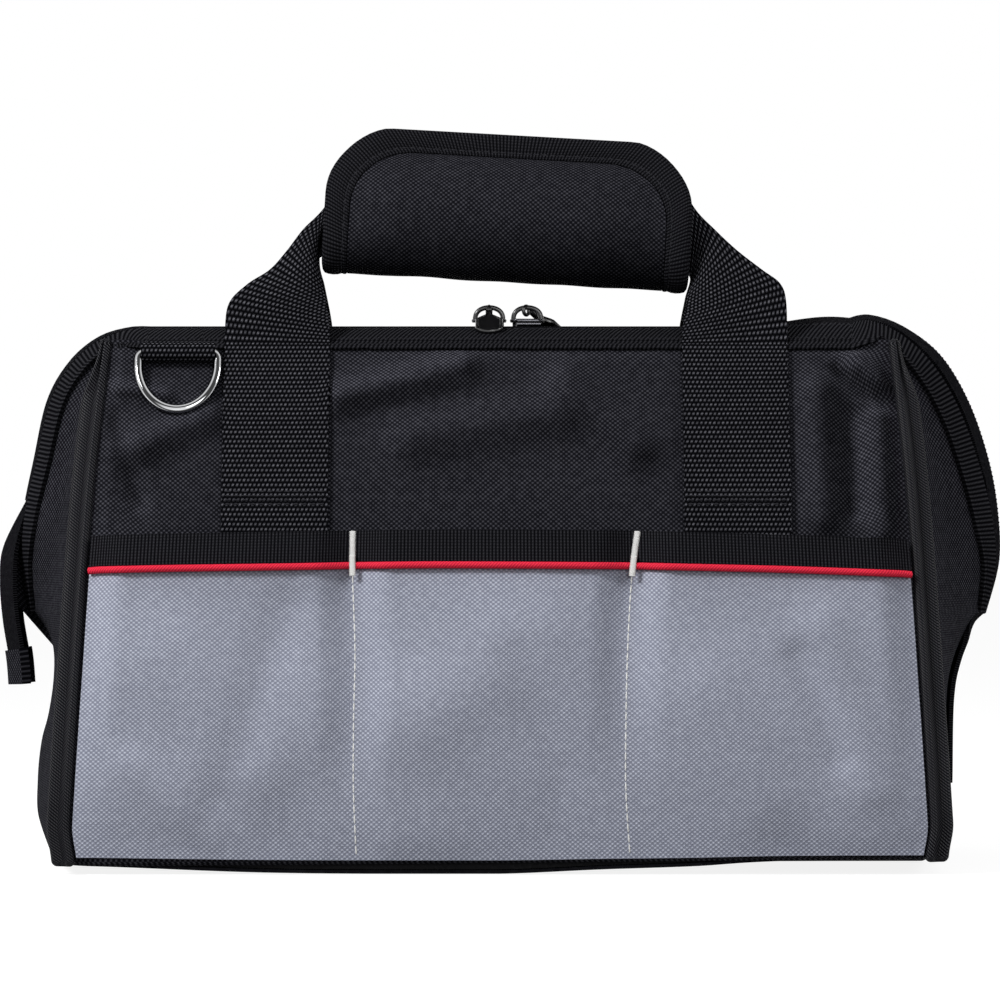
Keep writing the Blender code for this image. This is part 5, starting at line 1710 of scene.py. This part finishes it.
def make_handles():
    """Each handle is one webbing: sewn to the wall, free above the mouth, and run through the grip."""
    sizes = bpy.context.scene.bag_sizes
    half = webbing_width / 2
    low = pocket_height - pocket_tape_height / 2
    high = seam_height - clearance * 2
    bar_low = pocket_height + webbing_width * 0.26
    reach = grip_length / 2 - grip_entry
    for face_word, face in faces.items():
        def on_strap(x, z):
            return wall_point(x, z, face, strap_lift + webbing)

        for side_word, side in sides.items():
            middle = straps[side_word]
            across = spaced(middle - half, middle + half, 16)
            rows = [[on_strap(x, z) for x in across] for z in spaced(low, high, 60)]
            rows += leg_rows(face, side, middle, 60)
            web = sheet(f"{face_word}_{side_word}_handle_webbing", rows, webbing, "webbing", way_out(y=face))
            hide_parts(f"strap_{face_word}_{side_word}", f"leg_{face_word}_{side_word}")
            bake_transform(web)

            inner = half - sizes.seam_stitch * 0.8
            across = spaced(middle - inner, middle + inner, 24)
            lines = [
                [(on_strap(x, z), wall_normal(x, z, face)) for x in across]
                for z in spaced(bar_low, bar_low + webbing_width * 0.12, 3)
            ]
            stitches = seam_stitches(f"{face_word}_{side_word}_handle_stitches", lines, 1.2, 1.0)
            dress(stitches, "black_webbing")

        rows = []
        for x in spaced(grip_middle - reach + clearance, grip_middle + reach - clearance, 60):
            a, b = grip_web_edges(x, face)
            rows.append([a.lerp(b, c) for c in spaced(0, 1, 12)])
        run = sheet(f"{face_word}_grip_webbing", rows, webbing, "webbing", way_out(y=face))
        dress(run, "black_webbing", f"handle_{face_word}", body="handle")


# Grip

def grip_outline(inset, low):
    """The bound edge of a grip half as (x, arc) pairs: up one side, round its corners, and down the other."""
    half = grip_length / 2 - inset
    corner = grip_corner - inset * grip_inner_corner_share
    straight = grip_arc - inset - corner
    left = [(-half, a) for a in spaced(low, straight, 24)]
    for angle in spaced(0, pi / 2, 14)[1:]:
        left.append((-half + corner * (1 - cos(angle)), straight + corner * sin(angle)))
    top = [(x, straight + corner) for x in spaced(corner - half, half - corner, 30)[1:-1]]
    return left + top + [(-x, a) for x, a in reversed(left)]


def pad_rows(low, inset, face, columns, crown):
    """Rows across a grip half, from low up to its bound edge, on its outer side and under it."""
    corner = grip_corner - inset * grip_inner_corner_share
    straight = grip_arc - inset - corner
    arcs = spaced(low, straight, 26)
    arcs += [straight + corner * sin(turn) for turn in spaced(0, pi / 2, 12)[1:]]
    outer = []
    inner = []
    soft = grip_corner * 0.8
    for arc in arcs:
        above = max(arc - straight, 0) / corner
        half = grip_length / 2 - inset - corner * (1 - sqrt(max(1 - above**2, 0)))
        across = spaced(-half, half, columns)
        line = []
        for x in across:
            near = eased(min(half - abs(x), straight + corner - arc) / soft)
            swell = near**0.7 * eased((arc - grip_fold_middle) / soft)
            pucker = noise.noise(Vector((x / grip_pucker_width, arc / grip_pucker_height, face * 5.1)))
            line.append(grip_point(grip_middle + x, arc, face, crown * (swell + 0.16 * pucker * near)))
        outer.append(line)
        inner.append([grip_point(grip_middle + x, arc, face, -grip_pad) for x in across])
    return outer, inner


def binding_piece(name, low, face):
    """The tape bound over the grip's edge: rolled over the rim, flat inside it, with a sewn groove."""
    rise = grip_binding - grip_pad
    section = [
        (1.00, -grip_pad - rise * 0.10), (0.85, -grip_pad - rise * 0.45), (0.55, -grip_pad - rise * 0.5),
        (0.25, -grip_pad - rise * 0.45), (0.06, -grip_pad - rise * 0.10), (-0.03, -grip_pad * 0.75),
        (-0.06, -grip_pad * 0.5), (-0.03, -grip_pad * 0.22), (0.06, rise * 0.15), (0.22, rise * 0.55),
        (0.42, rise * 0.70), (0.62, rise * 0.55), (0.74, rise * 0.25),
        (0.80, rise * 0.02), (0.87, rise * 0.30), (0.95, rise * 0.30), (1.00, rise * 0.02),
    ]
    outlines = [grip_outline(grip_binding_width * w, low) for w, _ in section]
    rings = []
    for places in zip(*outlines):
        ring = []
        for (x, arc), (_, out) in zip(places, section):
            ring.append(grip_point(grip_middle + x, arc, face, out))
        rings.append(ring)
    return skin(name, rings, "tape", away_from(rings))


def make_grip():
    """The padded grip: a back with its fold, a flap that closes on it, their bindings and the closure."""
    sizes = bpy.context.scene.bag_sizes
    inset = grip_binding_width + clearance
    for name, low, face in (("flap", grip_flap_start, -1), ("back", clearance * 2 - grip_flap_start, 1)):
        outer, inner = pad_rows(low, inset, face, 56, sizes.pad_crown)
        pad = two_skins(f"grip_{name}_pad", outer, inner, "black_cloth", way_out(y=face))
        # Painted shade: the pad's colour darkens toward its lower edge, where it turns under away from the
        # light
        shade = []
        for vertex in pad.data.vertices:
            above = (vertex.co.z - grip_bottom) / grip_height
            shade.append(-grip_painted_shade_share * (1 - eased(above / grip_painted_shade_reach_share)))
        store_painted_shade(pad, shade)
        tape = binding_piece(f"grip_{name}_tape", low, face)
        line = []
        for x, arc in grip_outline(grip_binding_width * 0.80, low):
            point = grip_point(grip_middle + x, arc, face, 0)
            line.append((point, grip_point(grip_middle + x, arc, face, sizes.thread) - point))
        stitches = seam_stitches(f"grip_{name}_stitches", [line])
        for piece, slot in ((pad, "black_fabric"), (tape, "black_tape"), (stitches, "black_tape")):
            if face < 0:
                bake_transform(piece)
            else:
                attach(piece, "handle")
        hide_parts(f"grip_{name}")
        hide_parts(f"grip_{name}_binding")

    top = grip_arc - grip_binding_width - closure_drop
    reach = grip_length / 2 - grip_corner
    for name, face, body in (("hook", -1, "flap"), ("loop", 1, "handle")):
        skins = [
            [
                [grip_point(grip_middle + x, arc, face, out) for x in spaced(-reach, reach, 40)]
                for arc in spaced(top - closure_height, top, 6)
            ]
            for out in (-grip_pad - clearance, -grip_pad - clearance - closure)
        ]
        strip = two_skins(f"grip_{name}_tape", *skins, f"{name}s", way_out(y=face))
        dress(strip, "hook_tape", f"grip_{name}_strip", body=body)


# Zip sliders and pulls

def plate_outline(length, head, tail, inset):
    """The outline of a slider's plate, with a round head and a narrower round tail."""
    outline = []
    for end, half in ((1, head), (-1, tail)):
        long = half * 0.6
        for angle in spaced(-pi / 2, pi / 2, 14):
            x = length / 2 - long + (long - inset) * cos(angle)
            outline.append((end * x, end * (half - inset) * sin(angle)))
    return outline


def stacked(name, place, outlines, look):
    """A solid through outlines at their heights, which is rounded where they draw in."""
    rings = [[place @ Vector((x, y, z)) for x, y in outline] for outline, z in outlines]
    middle = sum((p for ring in rings for p in ring), Vector()) / sum(len(r) for r in rings)
    return skin(name, rings, look, lambda p: p - middle)


def make_slider(word, x, head_side):
    """A zip slider: two plates with turned edges on a post, and an arched bail over them."""
    heading = 0 if head_side > 0 else pi
    place = Matrix.Translation((x, 0, ridge_height)) @ Matrix.Rotation(heading, 4, "Z")
    head = slider_width / 2
    tail = head * 0.76
    edge = slider_plate * 0.35
    parts = []
    for sign in (1, -1):
        low = sign * slider_plate_gap
        levels = [
            (edge * 0.5, low), (0, low + sign * edge), (0, low + sign * (slider_plate - edge)),
            (edge * 0.4, low + sign * (slider_plate - edge * 0.3)), (edge * 1.3, low + sign * slider_plate),
        ]
        outlines = [(plate_outline(slider_length, head, tail, inset), z) for inset, z in levels]
        parts.append(stacked("plate", place, outlines, "gunmetal"))
        for turn in (-1, 1):
            path = []
            for share in spaced(0.12, 0.80, 10):
                y = turn * (tail + (head - tail) * share - edge)
                path.append(place @ Vector((slider_length * (share - 0.5), y, low - sign * edge * 1.4)))
            parts.append(rod("flange", path, edge * 1.9, "gunmetal", Vector((0, 0, 1)), 10))
    post_x = slider_length / 2 - slider_post_radius * 1.6
    post = [place @ Vector((post_x, 0, z)) for z in (-slider_plate_gap - edge, slider_plate_gap + edge)]
    parts.append(rod("post", post, slider_post_radius, "gunmetal", Vector((1, 0, 0)), 12))
    foot = slider_plate_gap + slider_plate / 2
    rise = bail_height - bail_wire_radius + slider_plate / 2
    arch = []
    for angle in spaced(0, pi, 24):
        z = foot + rise * max(sin(angle), 0) ** 0.7
        arch.append(place @ Vector((-bail_length / 2 * cos(angle), 0, z)))
    parts.append(rod("bail", arch, bail_wire_radius, "enamel", Vector((0, 1, 0)), 12))
    dress(joined(f"{word}_zip_slider", parts), "slider_metal", f"slider_{word}", body=f"{word}_slider")


def pull_outline(inset):
    """The outline of a pull's tongue: a narrow neck, shoulders and a round tip."""
    half = pull_width / 2
    start = pull_start - pull_ring_wire / 2
    neck = half * pull_neck_share - inset * 0.4
    shoulder = start + half * 1.75
    side = [
        (start + inset, neck), (start + half * 1.1, neck), (shoulder - half * 0.12, half * 0.85 - inset),
        (shoulder + half * 0.1, half - inset),
    ]
    tip = []
    for angle in spaced(-pi / 2, pi / 2, 16):
        x = pull_length - half * 0.7 + (half * 0.7 - inset) * cos(angle)
        tip.append((x, (half - inset) * sin(angle)))
    return [(x, -y) for x, y in side] + tip + side[::-1]


def make_pull(word, x, heading):
    """A pull: a small ring round the bail and a flat tongue with a raised rim."""
    bail_z = ridge_height + slider_plate_gap + slider_plate + bail_height - bail_wire_radius
    turn = Matrix.Translation((x, 0, bail_z)) @ Matrix.Rotation(heading, 4, "Z")
    turn = turn @ Matrix.Rotation(pull_slope, 4, "Y")
    ring = []
    for angle in spaced(0, 2 * pi, 24)[:-1]:
        ring.append(turn @ (Vector((cos(angle), 0, sin(angle) - 0.8)) * pull_ring_radius))
    parts = [rod("ring", ring, pull_ring_wire, "enamel", turn.to_3x3() @ Vector((0, 1, 0)), 10, closed=True)]
    rim = pull_thickness / 2
    levels = [(rim * 1.4, -rim * 0.55), (rim * 1.1, -rim), (rim * 0.3, -rim), (0, -rim * 0.6)]
    levels += [(inset, -z) for inset, z in reversed(levels)]
    parts.append(stacked("tongue", turn, [(pull_outline(inset), z) for inset, z in levels], "enamel"))
    dress(joined(f"{word}_zip_pull", parts), "pull_metal", f"pull_{word}", body=f"{word}_pull")


def make_sliders():
    make_slider("left", left_slider_x, 1)
    make_slider("right", right_slider_x, -1)
    make_pull("left", left_slider_x, -pi / 2)
    make_pull("right", right_slider_x, pi / 2 - right_pull_turn)


# D-rings

def make_d_rings():
    """A chromed D-ring lying down each wall in its folded webbing tab."""
    for word, face in faces.items():
        z = seam_height - ring_drop
        out = clearance * 2 + tab + ring_wire_radius
        slope = atan2(wall_y(z - ring_height) - wall_y(z), ring_height) - ring_lean
        up = Vector((0, -face * sin(slope), cos(slope)))
        normal = Vector((0, face * cos(slope), sin(slope)))
        strap = straps["left" if face < 0 else "right"]
        middle = strap + face * (webbing_width / 2 + ring_to_strap + ring_width / 2)
        bar = wall_form(middle, z, face) + normal * out
        half = ring_width / 2 - ring_wire_radius
        fall = ring_height - ring_wire_radius * 2
        straight = fall * 0.22
        corner = ring_wire_radius * 1.5
        path = []
        for turn in spaced(0, pi / 2, 7):
            path.append((half - corner + corner * sin(turn), corner * cos(turn) - corner))
        shoulder = [(-x, s) for x, s in reversed(path)]
        for turn in spaced(0, pi, 40)[1:-1]:
            path.append((half * cos(turn), -straight - (fall - straight) * sin(turn)))
        places = [bar + Vector((x, 0, 0)) + up * s for x, s in path + shoulder]
        places = evenly(places + places[:1], 120)[:-1]
        ring = rod(f"{word}_d_ring_wire", places, ring_wire_radius, "chrome", normal, 20, closed=True)
        dress(ring, "ring_metal", f"d_ring_{word}", body=f"{word}_ring")

        loop = ring_wire_radius + clearance + tab
        seam = Vector((bar.x, face * (mouth_depth / 2 + clearance * 3 + tab), seam_height - clearance * 2))
        points = [seam - Vector((0, 0, tab)), bar + up * loop * 0.4 - normal * loop]
        for turn in spaced(0, pi, 6)[1:-1]:
            points.append(bar - normal * loop * cos(turn) - up * loop * sin(turn))
        points += [bar + up * loop * 0.4 + normal * loop, seam + normal * loop * 0.9 + up * tab * 0.4]
        across = [Vector((x, 0, 0)) for x in spaced(-tab_width / 2, tab_width / 2, 12)]
        rows = [[point + step for step in across] for point in curve_through(points, 48)]

        def outward(place):
            return Vector((0, place.y - bar.y, place.z - bar.z))

        holder = sheet(f"{word}_d_ring_webbing", rows, tab, "webbing", outward)
        dress(holder, "black_webbing", f"d_ring_tab_{word}")


# Stage

def make_stage():
    """A pale floor, a soft top light, fills from the front and sides, and the camera of the photograph."""
    scene = bpy.context.scene
    scene.view_settings.view_transform = "Standard"

    def unlit(owner):
        """One for the rays of the camera and of shine, and nought for those that light the bag."""
        seen = add(owner, "ShaderNodeLightPath")
        rays = {0: seen["Is Camera Ray"], 1: seen["Is Glossy Ray"]}
        clear = add(owner, "ShaderNodeMath", rays, operation="MAXIMUM")[0]
        passed = {0: clear, 1: seen["Is Transmission Ray"]}
        return add(owner, "ShaderNodeMath", passed, operation="MAXIMUM")[0]

    floor_mesh = bpy.data.meshes.new("floor")
    reach = camera_distance * 4
    corners = [(-reach, -reach, 0), (reach, -reach, 0), (reach, reach, 0), (-reach, reach, 0)]
    floor_mesh.from_pydata(corners, [], [(0, 1, 2, 3)])
    floor = placed("floor", floor_mesh)
    floor.location.z = -clearance
    paper, shader = new_finish("paper_floor_white", Roughness=0.9, Specular_IOR_Level=0.0)
    shader.inputs["Base Color"].default_value = (*linear("#8c8c8c"), 1)
    shader.inputs["Emission Color"].default_value = (1, 1, 1, 1)
    level = add(paper, "ShaderNodeMath", {0: unlit(paper), 1: 0.86}, operation="MULTIPLY")[0]
    paper.node_tree.links.new(level, shader.inputs["Emission Strength"])
    floor_mesh.materials.append(paper)

    world = bpy.data.worlds.new("studio")
    scene.world = world
    world.use_nodes = True
    background = world.node_tree.nodes["Background"]
    background.inputs["Color"].default_value = (1, 1, 1, 1)
    place = add(world, "ShaderNodeTexCoord")["Generated"]
    height = add(world, "ShaderNodeSeparateXYZ", {0: place})[2]
    soft = add(world, "ShaderNodeMapRange", {0: height, 1: -0.4, 2: 1.0, 3: 0.10, 4: 0.45})[0]
    level = add(world, "ShaderNodeMix", {0: unlit(world), 2: soft, 3: 1.0}, data_type="FLOAT")[0]
    world.node_tree.links.new(level, background.inputs["Strength"])

    middle = Vector((0, 0, seam_height / 2))
    for name, (place, size, power) in lamps.items():
        data = bpy.data.lights.new(name, "AREA")
        data.shape = "DISK"
        data.size = size
        data.energy = power
        lamp = placed(name, data)
        lamp.location = place
        lamp.rotation_euler = (middle - Vector(place)).to_track_quat("-Z", "Y").to_euler()

    data = bpy.data.cameras.new("photo_camera")
    data.lens = camera_lens
    data.sensor_width = camera_sensor
    data.clip_end = camera_distance * 20
    camera = placed("photo_camera", data)
    camera.location = (0, -camera_distance, camera_height)
    camera.rotation_euler = (pi / 2, 0, 0)
    scene.camera = camera


# Operators

class BAG_OT_body(bpy.types.Operator):
    """Make the walls, foam, lining, base and ends"""

    bl_idname = "bag.body"
    bl_label = "Body cloth"

    def execute(self, context):
        make_walls()
        make_lining()
        make_base()
        make_ends()
        return {"FINISHED"}


class BAG_OT_corner_beads(bpy.types.Operator):
    """Make the corded beads of the corners"""

    bl_idname = "bag.corner_beads"
    bl_label = "Corner beads"

    def execute(self, context):
        make_corner_beads()
        return {"FINISHED"}


class BAG_OT_pockets(bpy.types.Operator):
    """Make the pockets with their binding, piping, dividers and bar tacks"""

    bl_idname = "bag.pockets"
    bl_label = "Pockets"

    def execute(self, context):
        make_pockets()
        return {"FINISHED"}


class BAG_OT_mouth(bpy.types.Operator):
    """Make the mouth bands, the zip and its loose ends"""

    bl_idname = "bag.mouth"
    bl_label = "Mouth and zip"

    def execute(self, context):
        make_lips()
        make_zip_ends()
        make_left_tail()
        make_right_tail()
        return {"FINISHED"}


class BAG_OT_handles(bpy.types.Operator):
    """Make the webbing of the handles"""

    bl_idname = "bag.handles"
    bl_label = "Handle webbing"

    def execute(self, context):
        make_handles()
        return {"FINISHED"}


class BAG_OT_grip(bpy.types.Operator):
    """Make the padded grip"""

    bl_idname = "bag.grip"
    bl_label = "Padded grip"

    def execute(self, context):
        make_grip()
        return {"FINISHED"}


class BAG_OT_sliders(bpy.types.Operator):
    """Make the zip's sliders and pulls"""

    bl_idname = "bag.sliders"
    bl_label = "Sliders and pulls"

    def execute(self, context):
        make_sliders()
        return {"FINISHED"}


class BAG_OT_d_rings(bpy.types.Operator):
    """Make the D-rings and their webbing"""

    bl_idname = "bag.d_rings"
    bl_label = "D-rings"

    def execute(self, context):
        make_d_rings()
        return {"FINISHED"}


class BAG_OT_stage(bpy.types.Operator):
    """Make the floor, the lights and the camera"""

    bl_idname = "bag.stage"
    bl_label = "Stage"

    def execute(self, context):
        make_stage()
        return {"FINISHED"}


class BAG_PT_panel(bpy.types.Panel):
    """Lists the steps that make the bag"""

    bl_idname = "BAG_PT_panel"
    bl_label = "Tool bag"
    bl_space_type = "VIEW_3D"
    bl_region_type = "UI"
    bl_category = "Tool bag"

    def draw(self, context):
        layout = self.layout
        for step in steps:
            layout.operator(step.bl_idname)
        for settings in (context.scene.bag_colours, context.scene.bag_sizes):
            box = layout.box()
            for key in settings.bl_rna.properties.keys():
                if key not in ("rna_type", "name"):
                    box.prop(settings, key)


steps = (
    BAG_OT_body, BAG_OT_corner_beads, BAG_OT_pockets, BAG_OT_mouth, BAG_OT_handles,
    BAG_OT_grip, BAG_OT_sliders, BAG_OT_d_rings, BAG_OT_stage,
)
classes = (BagColours, BagSizes, *steps, BAG_PT_panel)


def register():
    for made in classes:
        bpy.utils.register_class(made)
    bpy.types.Scene.bag_colours = PointerProperty(type=BagColours)
    bpy.types.Scene.bag_sizes = PointerProperty(type=BagSizes)


def unregister():
    del bpy.types.Scene.bag_sizes
    del bpy.types.Scene.bag_colours
    for made in reversed(classes):
        bpy.utils.unregister_class(made)


def main():
    register()
    bpy.ops.bag.body()
    bpy.ops.bag.corner_beads()
    bpy.ops.bag.pockets()
    bpy.ops.bag.mouth()
    bpy.ops.bag.handles()
    bpy.ops.bag.grip()
    bpy.ops.bag.sliders()
    bpy.ops.bag.d_rings()
    bpy.ops.bag.stage()


if __name__ == "__main__":
    main()
